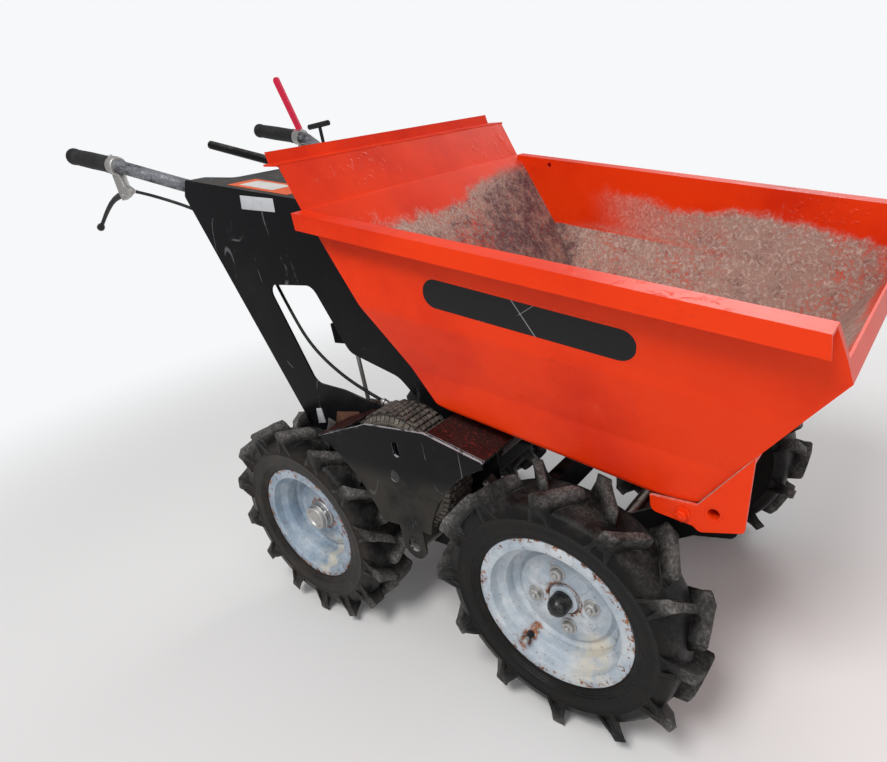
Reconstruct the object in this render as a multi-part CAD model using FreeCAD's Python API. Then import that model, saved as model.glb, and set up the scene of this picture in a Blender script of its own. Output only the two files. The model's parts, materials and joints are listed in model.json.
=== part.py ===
import FreeCAD, Part
import math
import os

V = FreeCAD.Vector

# Frame: X runs forward to the tipping end, Y to the left, Z up, in millimetres.
# Shapes are drawn round a point on the ground midway between the axles, and moved
# along X before export so that the whole machine's box is centred on the origin.

# Wheels and axles
TYRE_R = 200.0
TYRE_GAP = 132.0
TYRE_WIDTH = 92.0
TYRE_PLANE = 260.0
TYRE_WALL = 9.0
LUG_HEIGHT = 24.0
LUG_TIP_HALF = 8.0
LUG_FOOT_HALF = 15.0
LUG_RAKE = 40.0
LUG_PAST_MIDDLE = 4.0
LUG_PROUD = 3.5
LUGS_FRONT = 12
LUGS_REAR = 14
RIM_R_FRONT = 120.0
RIM_R_REAR = 115.0
RIM_WIDTH = 69.0
RIM_SHEET = 3.0
BEAD_DEPTH = 15.0
WELL_DEPTH = 28.0
WELL_HALF = 12.0
SEAT_START = 19.0
DISC_SET_FRONT = 4.0
DISC_SET_REAR = 10.0
STUD_CIRCLE_R = 45.0
STUD_COUNT = 4
FLANGE_R = 62.0
HUB_R = 22.0
DISC_HOLE_R = 26.0
HUB_GAP = 6.0
AXLE_R = 12.5
SHAFT_CLEAR = 0.05
SEAT_GAP = 0.3
CAP_R = 15.5
CAP_REACH = 31.0
HUB_CAP_REACH = 17.0

# Drive wheels that sit between the tyres of each side
DRIVE_R = 103.4
DRIVE_WIDTH = 66.0
DRIVE_TYRE_DEPTH = 45.4
DRIVE_HUB_R = 22.0
DRIVE_SHAFT_R = 10.0
RUNNING_GAP = 5.0
DRIVE_STEP = 59.5
DRIVE_FACETS = 24

# Chassis
TYRE_SIDE_GAP = 9.0
RAIL_WIDTH = 30.0
RAIL_HEIGHT = 70.0
RAIL_BELOW_AXLE = 30.0
RAIL_WALL = 4.0
RAIL_TAIL = 52.0
RAIL_NOSE = 64.0
CROSS_HALF = 14.0
CROSS_INSET = 10.0
PANEL_SHEET = 4.0
GUARD_SHEET = 4.0
LUG_X = 10.0
LUG_BELOW_DRIVE = 22.6
LUG_BORE_R = 12.0
LUG_WALL = 3.0

# Skip
SKIP_SHEET = 3.0
FLOOR_HALF = 231.0
LIP_WIDTH = 22.0
LIP_DROP = 24.0
LEDGE_WIDTH = 27.0
EDGE_HEIGHT = 22.0
BRACKET_SHEET = 5.0
PIVOT_AHEAD = 203.0
PIVOT_BELOW = 20.0
PIVOT_R = 10.0
PIVOT_WALL = 3.0
EAR_R = 15.0

# Handles and controls
HANDLE_R = 12.5
HANDLE_WALL = 2.0
HANDLE_BENDS = [160.0, 70.0]
GRIP_R = 17.0
GRIP_LENGTH = 155.0
GRIP_CAP = 4.0
CLAMP_WALL = 6.0
GEAR_ROD_R = 9.0
CABLE_R = 3.0

# Engine, on a deck behind the skip
ENGINE_X = -150.0
DECK_RISE = 153.0
DECK_SHEET = 4.0
DECK_DROP = 38.0
DECK_REAR = -236.0
DECK_FRONT = 22.0
DECK_HALF = 150.0
CASE_R = 74.0
CASE_HEIGHT = 96.0
SHROUD_R = 100.0
FIN_COUNT = 7
FIN_PITCH = 9.0
FIN_HALF = 50.0
GLAND_R = 5.0
CASE_FLOOR_RISE = 65.0
CASE_HALF = 96.0
ROD_X = -203.0
ROD_Y = 130.0
ROD_PIN_R = 6.0

# Places that follow from the sizes above
AXLE_X = TYRE_R + TYRE_GAP / 2
DRIVE_Z = TYRE_R + math.sqrt((TYRE_R + DRIVE_R + RUNNING_GAP) ** 2 - AXLE_X ** 2)
LOAD_Z = max(2 * TYRE_R, DRIVE_Z + DRIVE_R - DRIVE_STEP)
PANEL_Y = TYRE_PLANE - TYRE_WIDTH / 2 - TYRE_SIDE_GAP
RAIL_Y = PANEL_Y - PANEL_SHEET
DRIVE_PLANE = PANEL_Y + RUNNING_GAP + DRIVE_WIDTH / 2
GUARD_Y = DRIVE_PLANE + DRIVE_WIDTH / 2 + RUNNING_GAP + GUARD_SHEET
DRIVE_RIM_R = DRIVE_R - DRIVE_TYRE_DEPTH
RAIL_Z = TYRE_R - RAIL_BELOW_AXLE
RAIL_TOP = RAIL_Z + RAIL_HEIGHT
RAIL_REAR = -AXLE_X - RAIL_TAIL
RAIL_FRONT = AXLE_X + RAIL_NOSE
CROSS_X = [RAIL_REAR + 16, -60.0, 110.0, RAIL_FRONT - 22]
BRACKET_Y = FLOOR_HALF + BRACKET_SHEET
PIVOT_X = AXLE_X + PIVOT_AHEAD
PIVOT_Z = LOAD_Z - PIVOT_BELOW
LUG_Z = DRIVE_Z - DRIVE_R - LUG_BELOW_DRIVE
DECK_Z = LOAD_Z + DECK_RISE
CASE_TOP = DECK_Z + CASE_HEIGHT
CASE_FLOOR = LOAD_Z + CASE_FLOOR_RISE
ROD_TOP = CASE_FLOOR + 35.0
ROD_FOOT = DRIVE_Z + 29.0
HANDLE_IN_Y = RAIL_Y - HANDLE_R - 1.5
FACE_Y_FRONT = TYRE_PLANE - DISC_SET_FRONT
FACE_Y_REAR = TYRE_PLANE - DISC_SET_REAR
CAP_TIP_Y = TYRE_PLANE + CAP_REACH
HUB_CAP_TIP_Y = TYRE_PLANE + HUB_CAP_REACH
HUB_INNER_Y = PANEL_Y + HUB_GAP
# Handle line, from inside the console to the grip's end
HANDLE_PATH = [(-300.0, HANDLE_IN_Y, LOAD_Z + 388.6), (-504.0, HANDLE_IN_Y, LOAD_Z + 430.0),
               (-640.0, HANDLE_IN_Y + 49, LOAD_Z + 488.0), (-822.0, HANDLE_IN_Y + 54, LOAD_Z + 531.0)]


def box(x0, x1, y0, y1, z0, z1):
    return Part.makeBox(x1 - x0, y1 - y0, z1 - z0, V(x0, y0, z0))


def bar_y(x, z, r, y0, y1):
    return Part.makeCylinder(r, y1 - y0, V(x, y0, z), V(0, 1, 0))


def bar_z(x, y, r, z0, z1):
    return Part.makeCylinder(r, z1 - z0, V(x, y, z0), V(0, 0, 1))


def fuse(shapes):
    result = shapes[0]
    for shape in shapes[1:]:
        result = result.fuse(shape)
    return result.removeSplitter()


def mirrored(shape):
    return shape.mirror(V(0, 0, 0), V(0, 1, 0))


def rounded_wire(corners, place):
    """Closed wire through (a, b, radius) corners; place turns (a, b) into a point."""
    n = len(corners)
    cuts = []
    for i, (a, b, r) in enumerate(corners):
        pa, pb = corners[i - 1][:2], corners[(i + 1) % n][:2]
        ua, ub = (pa[0] - a, pa[1] - b), (pb[0] - a, pb[1] - b)
        la, lb = math.hypot(*ua), math.hypot(*ub)
        ua, ub = (ua[0] / la, ua[1] / la), (ub[0] / lb, ub[1] / lb)
        if r <= 0:
            cuts.append((place(a, b), None, place(a, b)))
            continue
        half = math.acos(max(-1.0, min(1.0, ua[0] * ub[0] + ua[1] * ub[1]))) / 2
        back = r / math.tan(half)
        bis = (ua[0] + ub[0], ua[1] + ub[1])
        size = math.hypot(*bis)
        reach = r / math.sin(half) - r
        mid = place(a + bis[0] / size * reach, b + bis[1] / size * reach)
        cuts.append((place(a + ua[0] * back, b + ua[1] * back), mid,
                     place(a + ub[0] * back, b + ub[1] * back)))
    edges = []
    for i, (start, mid, end) in enumerate(cuts):
        if mid is not None:
            edges.append(Part.Arc(start, mid, end).toShape())
        following = cuts[(i + 1) % n][0]
        if end.distanceToPoint(following) > 1e-6:
            edges.append(Part.LineSegment(end, following).toShape())
    return Part.Wire(edges)


def plate_xz(corners, y0, y1):
    wire = rounded_wire(corners, lambda a, b: V(a, y0, b))
    return Part.Face(wire).extrude(V(0, y1 - y0, 0))


def plate_xy(corners, z0, z1):
    wire = rounded_wire(corners, lambda a, b: V(a, b, z0))
    return Part.Face(wire).extrude(V(0, 0, z1 - z0))


def block_xy(x0, x1, y0, y1, bend, z0, z1):
    """Block whose four upright edges are rounded."""
    return plate_xy([(x0, y0, bend), (x1, y0, bend), (x1, y1, bend), (x0, y1, bend)], z0, z1)


def turned_y(profile, x, z):
    """Revolve (radius, y, corner radius) corners round the Y axis through x, z."""
    wire = rounded_wire(profile, lambda r, y: V(x + r, y, z))
    return Part.Face(wire).revolve(V(x, 0, z), V(0, 1, 0), 360)


def tube_along(points, bends, r_out, r_in=0.0):
    """Round bar or tube along straight runs joined by tangent arcs."""
    edges = []
    start = points[0]
    for i in range(1, len(points) - 1):
        corner = points[i]
        ua = (points[i - 1] - corner).normalize()
        ub = (points[i + 1] - corner).normalize()
        half = ua.getAngle(ub) / 2
        radius = bends[i - 1]
        back = radius / math.tan(half)
        first, last = corner + ua * back, corner + ub * back
        bis = (ua + ub).normalize()
        mid = corner + bis * (radius / math.sin(half) - radius)
        edges.append(Part.LineSegment(start, first).toShape())
        edges.append(Part.Arc(first, mid, last).toShape())
        start = last
    edges.append(Part.LineSegment(start, points[-1]).toShape())
    path = Part.Wire(edges)
    along = (points[1] - points[0]).normalize()
    outer = path.makePipeShell([Part.Wire(Part.makeCircle(r_out, points[0], along))], True, False)
    if r_in <= 0:
        return outer
    inner = path.makePipeShell([Part.Wire(Part.makeCircle(r_in, points[0], along))], True, False)
    return outer.cut(inner)


def between(a, b, x):
    """Value at x on the straight line through a = (x, value) and b = (x, value)."""
    return a[1] + (b[1] - a[1]) * (x - a[0]) / (b[0] - a[0])


def offset_outline(points, d):
    """Move each edge of a closed outline, listed clockwise in X and Z, inwards by d."""
    n = len(points)
    moved = []
    for i in range(n):
        (ax, az), (bx, bz), (cx, cz) = points[i - 1], points[i], points[(i + 1) % n]
        l1, l2 = math.hypot(bx - ax, bz - az), math.hypot(cx - bx, cz - bz)
        n1 = (-(bz - az) / l1, (bx - ax) / l1)
        n2 = (-(cz - bz) / l2, (cx - bx) / l2)
        k = d / (1 + n1[0] * n2[0] + n1[1] * n2[1])
        moved.append((bx + (n1[0] + n2[0]) * k, bz + (n1[1] + n2[1]) * k))
    return moved


# Skip: side outline in X and Z, from the rear top corner down, forward and up to the tip
REAR_TOP = (-67.0, LOAD_Z + 372.0)
REAR_LOW = (80.0, LOAD_Z + 73.0)
FLOOR_REAR = (112.0, LOAD_Z + 55.0)
FLOOR_FRONT = (AXLE_X + 104.0, LOAD_Z - 10.0)
NOSE_LOW = (AXLE_X + 184.0, LOAD_Z - 12.0)
NOSE_TIP = (AXLE_X + 336.0, LOAD_Z + 164.0)
NOSE_TOP = (AXLE_X + 332.0, LOAD_Z + 188.0)
LIP_FRONT = (AXLE_X + 324.0, LOAD_Z + 223.0)
SKIP_OUTLINE = [REAR_TOP, REAR_LOW, FLOOR_REAR, FLOOR_FRONT, NOSE_LOW, NOSE_TIP, NOSE_TOP, LIP_FRONT]
OUTLINE_BENDS = [0.0, 12.0, 18.0, 30.0, 12.0, 0.0, 0.0, 0.0]
LEDGE_CORNER = (-98.0, LOAD_Z + 435.0)
# Long folds of a side: rear x, z and half width, front x, z and half width, then the bend's radius
SKIP_FOLDS = [
    (*REAR_TOP, 280.0, *LIP_FRONT, 268.0, 0.0),
    (0.0, LOAD_Z + 232.0, 278.0, AXLE_X + 290.0, LOAD_Z + 111.0, 245.0, 40.0),
    (52.0, LOAD_Z + 131.0, 250.0, AXLE_X + 224.0, LOAD_Z + 36.0, 232.0, 30.0),
    (*FLOOR_REAR, FLOOR_HALF + 9, *FLOOR_FRONT, FLOOR_HALF, 14.0),
]
LOFT_REAR = -200.0
LOFT_FRONT = 700.0
OPEN_TOP = 60.0
BOARD_HOLE_X = [6.0, 507.0]
BOARD_HOLE_DROP = 11.0
BOARD_HOLE_R = 4.5


def trough(inset, raise_top):
    """Solid filling the skip, its walls moved inwards by inset and its top raised."""
    sections = []
    for x in (LOFT_REAR, LOFT_FRONT):
        half = []
        for x0, z0, y0, x1, z1, y1, bend in SKIP_FOLDS:
            half.append([between((x0, y0), (x1, y1), x) - inset, between((x0, z0), (x1, z1), x),
                         max(bend - inset, 0)])
        half[0][1] += raise_top
        half[-1][1] += inset
        ring = half + [[-y, z, bend] for y, z, bend in reversed(half)]
        sections.append(rounded_wire(ring, lambda y, z: V(x, y, z)))
    body = Part.makeLoft(sections, True, True)
    outline = list(SKIP_OUTLINE)
    if inset:
        outline = offset_outline(SKIP_OUTLINE, inset)
        slope = (REAR_TOP[0] - REAR_LOW[0]) / (REAR_TOP[1] - REAR_LOW[1])
        outline[0] = (outline[0][0] + slope * raise_top, outline[0][1] + raise_top)
        outline[-1] = (outline[-1][0], outline[-1][1] + raise_top)
    corners = [(x, z, max(bend - inset, 0)) for (x, z), bend in zip(outline, OUTLINE_BENDS)]
    if inset:
        corners.insert(-1, (LOFT_FRONT, outline[-2][1] + SKIP_SHEET * 2, 0))
    return body.common(plate_xz(corners, -GUARD_Y, GUARD_Y))


def skip_lip():
    """Right lip: flat top outwards, then turned down."""
    rows = []
    x0, z0, y0, x1, z1, y1 = SKIP_FOLDS[0][:6]
    for x, z, y in ((x0, z0, y0), (x1, z1, y1)):
        out = y + LIP_WIDTH
        ring = [(y - SKIP_SHEET, z), (out, z), (out, z - LIP_DROP), (out - SKIP_SHEET, z - LIP_DROP),
                (out - SKIP_SHEET, z - SKIP_SHEET), (y - SKIP_SHEET, z - SKIP_SHEET)]
        points = [V(x, -a, b) for a, b in ring]
        rows.append(Part.makePolygon(points + points[:1]))
    return Part.makeLoft(rows, True, True)


def skip_rear_top():
    """Rear wall above the lips, its ledge and the turned-up edge."""
    x0, z0 = REAR_TOP
    x1, z1 = LEDGE_CORNER
    half = SKIP_FOLDS[0][2]
    thick = SKIP_SHEET * 1.2
    foot, rise = 8.0, 3.0
    back = x1 - LEDGE_WIDTH
    wall = plate_xz([(x0, z0 - foot, 0), (x0 + thick, z0 - foot, 0), (x1 + thick, z1, 0), (x1, z1, 0)],
                    -half, half)
    ledge = plate_xz([(x1 + thick, z1 - 0.5, 0), (x1 + thick, z1 + SKIP_SHEET - 0.5, 0),
                      (back, z1 + SKIP_SHEET + rise, 0), (back, z1 + rise, 0)], -half - 4, half + 4)
    edge = plate_xz([(back + SKIP_SHEET, z1 + rise, 0), (back, z1 + rise, 0),
                     (back - 4, z1 + EDGE_HEIGHT, 0), (back - 4 + SKIP_SHEET, z1 + EDGE_HEIGHT, 0)],
                    -half + 6, half - 6)
    return [wall, ledge, edge]


def skip_shell():
    shell = trough(0.0, 0.0).cut(trough(SKIP_SHEET, OPEN_TOP))
    right = skip_lip()
    shell = fuse([shell, right, mirrored(right)] + skip_rear_top())
    x0, z0, y0, x1, z1, y1 = SKIP_FOLDS[0][:6]
    for x in BOARD_HOLE_X:
        z = between((x0, z0), (x1, z1), x) - BOARD_HOLE_DROP
        y = between((x0, y0), (x1, y1), x)
        for side in (-1, 1):
            inner, outer = sorted((side * (y - 9), side * (y + 5)))
            shell = shell.cut(bar_y(x, z, BOARD_HOLE_R, inner, outer))
    return shell


def skip_bracket():
    """Right pivot plate below the sloped front of the skip."""
    rear, top = PIVOT_X - 75, PIVOT_X + 46
    outline = [(rear, between(FLOOR_FRONT, NOSE_LOW, rear), 0), (*NOSE_LOW, 0),
               (top, between(NOSE_LOW, NOSE_TIP, top), 0), (PIVOT_X + 33, PIVOT_Z - 17, 6),
               (PIVOT_X - 17, PIVOT_Z - 29, 8), (PIVOT_X - 25, PIVOT_Z - 22, 0), (rear, PIVOT_Z - 13, 10)]
    plate = plate_xz(outline, -BRACKET_Y, -BRACKET_Y + BRACKET_SHEET)
    hole = bar_y(PIVOT_X, PIVOT_Z, PIVOT_R + SHAFT_CLEAR, -BRACKET_Y - 1, -BRACKET_Y + BRACKET_SHEET + 1)
    return plate.cut(hole)


def rim_radius(x):
    return RIM_R_REAR if x < 0 else RIM_R_FRONT


def ring_stack(x, z, y, facets, stations):
    """Flat-faced solid through regular polygons round the Y axis, with a flat at the lowest point."""
    turns = [2 * math.pi * (i + 0.5) / facets - math.pi / 2 for i in range(facets + 1)]
    rings = [[V(x + r * math.cos(a), y + at, z + r * math.sin(a)) for a in turns] for at, r in stations]
    loops = [rings[0], rings[-1]]
    for ring, following in zip(rings, rings[1:]):
        for i in range(facets):
            loops.append([ring[i], ring[i + 1], following[i + 1], following[i], ring[i]])
    faces = [Part.Face(Part.makePolygon(loop)) for loop in loops]
    return Part.Solid(Part.Shell(faces))


def both_sides(stations):
    return stations + [(-at, r) for at, r in reversed(stations)]


def tyre_lug(x, turn, side, foot_r):
    """Raked bar from the foot on one shoulder to just past the middle, its outer corners at TYRE_R."""
    lean, half = LUG_RAKE / TYRE_R / 2, LUG_TIP_HALF
    top = math.sqrt(TYRE_R ** 2 - (half * math.cos(lean)) ** 2) - half * math.sin(lean)
    angle = turn - math.pi / 2 - lean - math.asin(half * math.cos(lean) / TYRE_R)
    across = V(-math.sin(angle), 0, math.cos(angle))
    out = V(math.cos(angle), 0, math.sin(angle))
    start = V(math.cos(angle + lean), 0, math.sin(angle + lean)) * top
    end = V(math.cos(angle - lean), 0, math.sin(angle - lean)) * top
    shoulder = V(x, side * TYRE_WIDTH / 2 - TYRE_PLANE, TYRE_R) + start
    section = [(-half, 0.0), (half, 0.0), (LUG_FOOT_HALF, top - foot_r), (-LUG_FOOT_HALF, top - foot_r)]
    corners = [shoulder + across * wide - out * deep for wide, deep in section]
    face = Part.Face(Part.makePolygon(corners + corners[:1]))
    return face.extrude(end - start - V(0, side * (TYRE_WIDTH / 2 + LUG_PAST_MIDDLE), 0))


def tyre(x, lugs):
    """Right tyre: hollow ring seated on the rim, its raked lugs half a pitch apart from side to side."""
    facets = lugs * 2
    even = 1 / math.cos(math.pi / facets)
    rim_r, half, wall = rim_radius(x), TYRE_WIDTH / 2 - LUG_PROUD, TYRE_WALL
    bead = (rim_r - BEAD_DEPTH + SEAT_GAP) * even
    seat = RIM_WIDTH / 2 - RIM_SHEET - SEAT_GAP
    flank, crown = (rim_r + 4) * even, TYRE_R - LUG_HEIGHT
    foot = (flank + crown) / 2
    body = ring_stack(x, TYRE_R, -TYRE_PLANE, facets, both_sides([(-seat, flank), (-half, crown - 6)]))
    lug_set = []
    for i in range(lugs):
        for side, shift in ((-1, 0.0), (1, 0.5)):
            lug_set.append(tyre_lug(x, 2 * math.pi * (i + shift) / lugs, side, foot))
    body = body.multiFuse(lug_set)
    cavity = [(-seat + wall, bead), (-half + wall, crown - wall - 6)]
    for stations in ([(-seat - 1, bead), (seat + 1, bead)], both_sides(cavity)):
        body = body.cut(ring_stack(x, TYRE_R, -TYRE_PLANE, facets, stations))
    return body.removeSplitter()


def rim_barrel(x):
    """Right rim ring: beads, seats and the well between them."""
    rim_r, w, t, y = rim_radius(x), RIM_WIDTH / 2, RIM_SHEET, -TYRE_PLANE
    bead, well = rim_r - BEAD_DEPTH, rim_r - WELL_DEPTH
    return turned_y([
        (rim_r, y - w, 0), (rim_r, y - w + t, 0), (bead, y - w + t, 0), (bead, y - SEAT_START, 0),
        (well, y - WELL_HALF, 0), (well, y + WELL_HALF, 0), (bead, y + SEAT_START, 0), (bead, y + w - t, 0),
        (rim_r, y + w - t, 0), (rim_r, y + w, 0), (bead - t, y + w, 0), (bead - t, y + SEAT_START, 0),
        (well - t, y + WELL_HALF, 0), (well - t, y - WELL_HALF, 0), (bead - t, y - SEAT_START, 0),
        (bead - t, y - w, 0)], x, TYRE_R)


def wheel_disc(x, face, hole_r):
    """Pressed disc of a right wheel, raised by a rib near the well."""
    well, t, y = rim_radius(x) - WELL_DEPTH, RIM_SHEET, -face
    edge = well - t + 0.5
    return turned_y([(hole_r, y - t, 0), (hole_r, y, 0), (well - 22, y, 0), (well - 14, y + 6, 0),
                     (edge, y + 2, 0), (edge, y - 1, 0), (well - 14, y + 3, 0), (well - 22, y - t, 0)],
                    x, TYRE_R)


def front_rim():
    """Right front wheel: rim, disc with a centre hole, hub flange and stud nuts."""
    x, face = AXLE_X, -FACE_Y_FRONT
    bore = AXLE_R + SHAFT_CLEAR
    hub = turned_y([(bore, -HUB_INNER_Y, 0), (HUB_R, -HUB_INNER_Y, 0), (HUB_R, face + 6, 0),
                    (FLANGE_R, face + 6, 0), (FLANGE_R, face, 0), (HUB_R, face, 0), (HUB_R, face - 6, 0),
                    (bore, face - 6, 0)], x, TYRE_R)
    nuts = []
    for i in range(STUD_COUNT):
        angle = math.radians(5 + 360.0 / STUD_COUNT * i)
        nx, nz = x + STUD_CIRCLE_R * math.cos(angle), TYRE_R + STUD_CIRCLE_R * math.sin(angle)
        corners = [(nx + 9.8 * math.cos(a), nz + 9.8 * math.sin(a), 0) for a in
                   [angle + math.radians(60 * k) for k in range(6)]]
        nuts.append(plate_xz(corners, face - RIM_SHEET - 8, face - RIM_SHEET))
        nuts.append(bar_y(nx, nz, 5, face - RIM_SHEET - 13, face - RIM_SHEET))
    return fuse([rim_barrel(x), wheel_disc(x, FACE_Y_FRONT, DISC_HOLE_R), hub] + nuts)


def rear_rim():
    """Right rear wheel: rim, deeper disc, hub and the cap over the axle's end."""
    x, face = -AXLE_X, -FACE_Y_REAR
    bore = AXLE_R + SHAFT_CLEAR
    hub = turned_y([(bore, -HUB_INNER_Y, 0), (HUB_R + 4, -HUB_INNER_Y, 0), (HUB_R + 4, face - RIM_SHEET, 0),
                    (28, face - RIM_SHEET, 0), (23, -HUB_CAP_TIP_Y, 0), (0, -HUB_CAP_TIP_Y, 0),
                    (0, -HUB_CAP_TIP_Y + 5, 0), (bore, -HUB_CAP_TIP_Y + 5, 0)], x, TYRE_R)
    return fuse([rim_barrel(x), wheel_disc(x, FACE_Y_REAR, HUB_R), hub])


def drive_tyre():
    """Right drive tyre: faceted ring with round shoulders, seated on its rim."""
    w, r = DRIVE_WIDTH / 2, DRIVE_R
    bore = (DRIVE_RIM_R + SEAT_GAP) / math.cos(math.pi / DRIVE_FACETS)
    outer = ring_stack(0, DRIVE_Z, -DRIVE_PLANE, DRIVE_FACETS, both_sides(
        [(-w, r - 16), (-w + 10, r)]))
    return outer.cut(ring_stack(0, DRIVE_Z, -DRIVE_PLANE, DRIVE_FACETS, [(-w, bore), (w, bore)]))


def drive_rim():
    y, w, r, t = -DRIVE_PLANE, DRIVE_WIDTH / 2, DRIVE_RIM_R, RIM_SHEET
    bore, hub = DRIVE_SHAFT_R + SHAFT_CLEAR, DRIVE_HUB_R
    return turned_y([(r, y - w + 8, 0), (r, y + w - 8, 0), (r - t, y + w - 8, 0), (r - t, y + 2, 0),
                     (hub, y + 2, 0), (hub, y + w - 6, 0), (bore, y + w - 6, 0), (bore, y - w + 6, 0),
                     (hub, y - w + 6, 0), (hub, y - 2, 0), (r - t, y - 2, 0), (r - t, y - w + 8, 0)],
                    0, DRIVE_Z)


def front_axle():
    """Solid axle through both rails, with a domed cap on each end."""
    end = FACE_Y_FRONT + 6.4
    parts = [bar_y(AXLE_X, TYRE_R, AXLE_R, -end - 4, end + 4)]
    for side in (-1, 1):
        dome_y = CAP_TIP_Y - CAP_R
        parts.append(Part.makeCylinder(CAP_R, dome_y - end, V(AXLE_X, side * end, TYRE_R), V(0, side, 0)))
        parts.append(Part.makeSphere(CAP_R, V(AXLE_X, side * dome_y, TYRE_R)))
    return fuse(parts)


def rear_axle():
    end = HUB_CAP_TIP_Y - 5 - SEAT_GAP
    return bar_y(-AXLE_X, TYRE_R, AXLE_R, -end, end)


def rail():
    """Right chassis rail: box tube with an arm raked forward to the skip pivot, bored for the axles."""
    y0, y1, t = -RAIL_Y, -RAIL_Y + RAIL_WIDTH, RAIL_WALL
    arm_rear = RAIL_FRONT - 72
    tube = box(RAIL_REAR, RAIL_FRONT, y0, y1, RAIL_Z, RAIL_TOP)
    tube = tube.cut(box(RAIL_REAR - 1, RAIL_FRONT + 1, y0 + t, y1 - t, RAIL_Z + t, RAIL_TOP - t))
    arm = plate_xz([(arm_rear, RAIL_TOP, 0), (RAIL_FRONT, RAIL_TOP, 0), (PIVOT_X - 59, PIVOT_Z - 74, 20),
                    (PIVOT_X - 37, PIVOT_Z - 62, 8), (PIVOT_X + EAR_R, PIVOT_Z - 53, 12),
                    (PIVOT_X + EAR_R, PIVOT_Z + EAR_R, EAR_R), (PIVOT_X - EAR_R, PIVOT_Z + EAR_R, EAR_R),
                    (PIVOT_X - EAR_R, PIVOT_Z - 8, 8), (PIVOT_X - 89, PIVOT_Z - 35, 30),
                    (arm_rear, RAIL_TOP + 40, 20)], y0, y0 + BRACKET_SHEET)
    frame = fuse([tube, arm])
    for x, z, r in ((-AXLE_X, TYRE_R, AXLE_R), (AXLE_X, TYRE_R, AXLE_R), (PIVOT_X, PIVOT_Z, PIVOT_R)):
        frame = frame.cut(bar_y(x, z, r, y0 - 1, y1 + 1))
    return frame


def cross_member(x):
    inner = RAIL_Y - RAIL_WIDTH
    return box(x - CROSS_HALF, x + CROSS_HALF, -inner, inner, RAIL_Z + CROSS_INSET, RAIL_TOP - CROSS_INSET)


def pivot_tube():
    end = BRACKET_Y - 1
    outer = bar_y(PIVOT_X, PIVOT_Z, PIVOT_R, -end, end)
    return outer.cut(bar_y(PIVOT_X, PIVOT_Z, PIVOT_R - PIVOT_WALL, -end - 1, end + 1))


# Console: top line of the side panels, from the rear corner to behind the skip
TOP_REAR = (-482.0, LOAD_Z + 443.0)
TOP_FRONT = (-95.0, LOAD_Z + 366.0)
CONSOLE_SHEET = 3.0
NOTCH_DEPTH = 62.0
SLOT_END = 150.0
SLOT_HALF = 12.0


def side_panel():
    """Right side plate: rear leg, front leg and the lower plate that carries the drive."""
    y0, y1 = -PANEL_Y, -PANEL_Y + PANEL_SHEET
    low, base = RAIL_Z + 6, LOAD_Z
    outline = [(*TOP_REAR, 6), (TOP_REAR[0] - 18, TOP_REAR[1] - 29, 6), (-AXLE_X - 40, base - 17, 40),
               (-AXLE_X - 34, low, 10), (140, low, 10), (146, base + 37, 6), (92, base + 40, 12),
               (62, base + 55, 20), (TOP_FRONT[0] + 6, TOP_FRONT[1], 8)]
    window = [(-315, base + 242, 16), (-190, base + 240, 26), (-133, base + 124, 30), (-28, base + 89, 40),
              (18, base + 40, 14), (-66, base + 24, 40), (-172, base + 50, 40), (-246, base + 57, 26)]
    plate = plate_xz(outline, y0, y1)
    plate = plate.cut(plate_xz(window, y0 - 1, y1 + 1))
    plate = plate.cut(bar_y(0, DRIVE_Z, DRIVE_SHAFT_R, y0 - 1, y1 + 1))
    return plate.cut(bar_y(-AXLE_X, TYRE_R, AXLE_R, y0 - 1, y1 + 1))


def console_top():
    """Sloping cover between the side panels, cut back at the rear, with the gear lever's cheeks."""
    slope = math.atan2(TOP_REAR[1] - TOP_FRONT[1], TOP_FRONT[0] - TOP_REAR[0])
    length = math.hypot(TOP_REAR[1] - TOP_FRONT[1], TOP_FRONT[0] - TOP_REAR[0])
    w, rear, front = RAIL_Y, 8.0, length - 14.0
    outline = [(rear, -w, 0), (front, -w, 0), (front, w, 0), (rear, w, 0), (rear, w - 34, 8),
               (NOTCH_DEPTH, w - 62, 20), (NOTCH_DEPTH, -w + 62, 20), (rear, -w + 34, 8)]
    plate = plate_xy(outline, -CONSOLE_SHEET, 0)
    slot = plate_xy([(NOTCH_DEPTH - 20, -SLOT_HALF, 0), (SLOT_END, -SLOT_HALF, 11),
                     (SLOT_END, SLOT_HALF, 11), (NOTCH_DEPTH - 20, SLOT_HALF, 0)], -5, 2)
    cheeks = []
    for side in (-1, 1):
        y0, y1 = sorted((side * (GEAR_ROD_R + SEAT_GAP), side * (GEAR_ROD_R + 6)))
        cheeks.append(box(SLOT_END - 18, SLOT_END + 26, y0, y1, -44, -CONSOLE_SHEET))
    plate = fuse([plate.cut(slot)] + cheeks)
    plate.rotate(V(0, 0, 0), V(0, 1, 0), math.degrees(slope))
    plate.translate(V(TOP_REAR[0], 0, TOP_REAR[1]))
    return plate


def handle():
    points = [V(x, -y, z) for x, y, z in HANDLE_PATH]
    return tube_along(points, HANDLE_BENDS, HANDLE_R, HANDLE_R - HANDLE_WALL)


def handle_point(run, distance, side):
    """Point and direction on a straight run of a handle, measured forward from the run's rear end."""
    end, before = V(*HANDLE_PATH[-1 - run]), V(*HANDLE_PATH[-2 - run])
    along = (before - end).normalize()
    point = end + along * distance
    return V(point.x, side * point.y, point.z), V(along.x, side * along.y, along.z)


def sleeve(start, along, length, wall):
    outer = Part.makeCylinder(HANDLE_R + wall, length, start, along)
    return outer.cut(Part.makeCylinder(HANDLE_R, length + 2, start - along, along))


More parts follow.
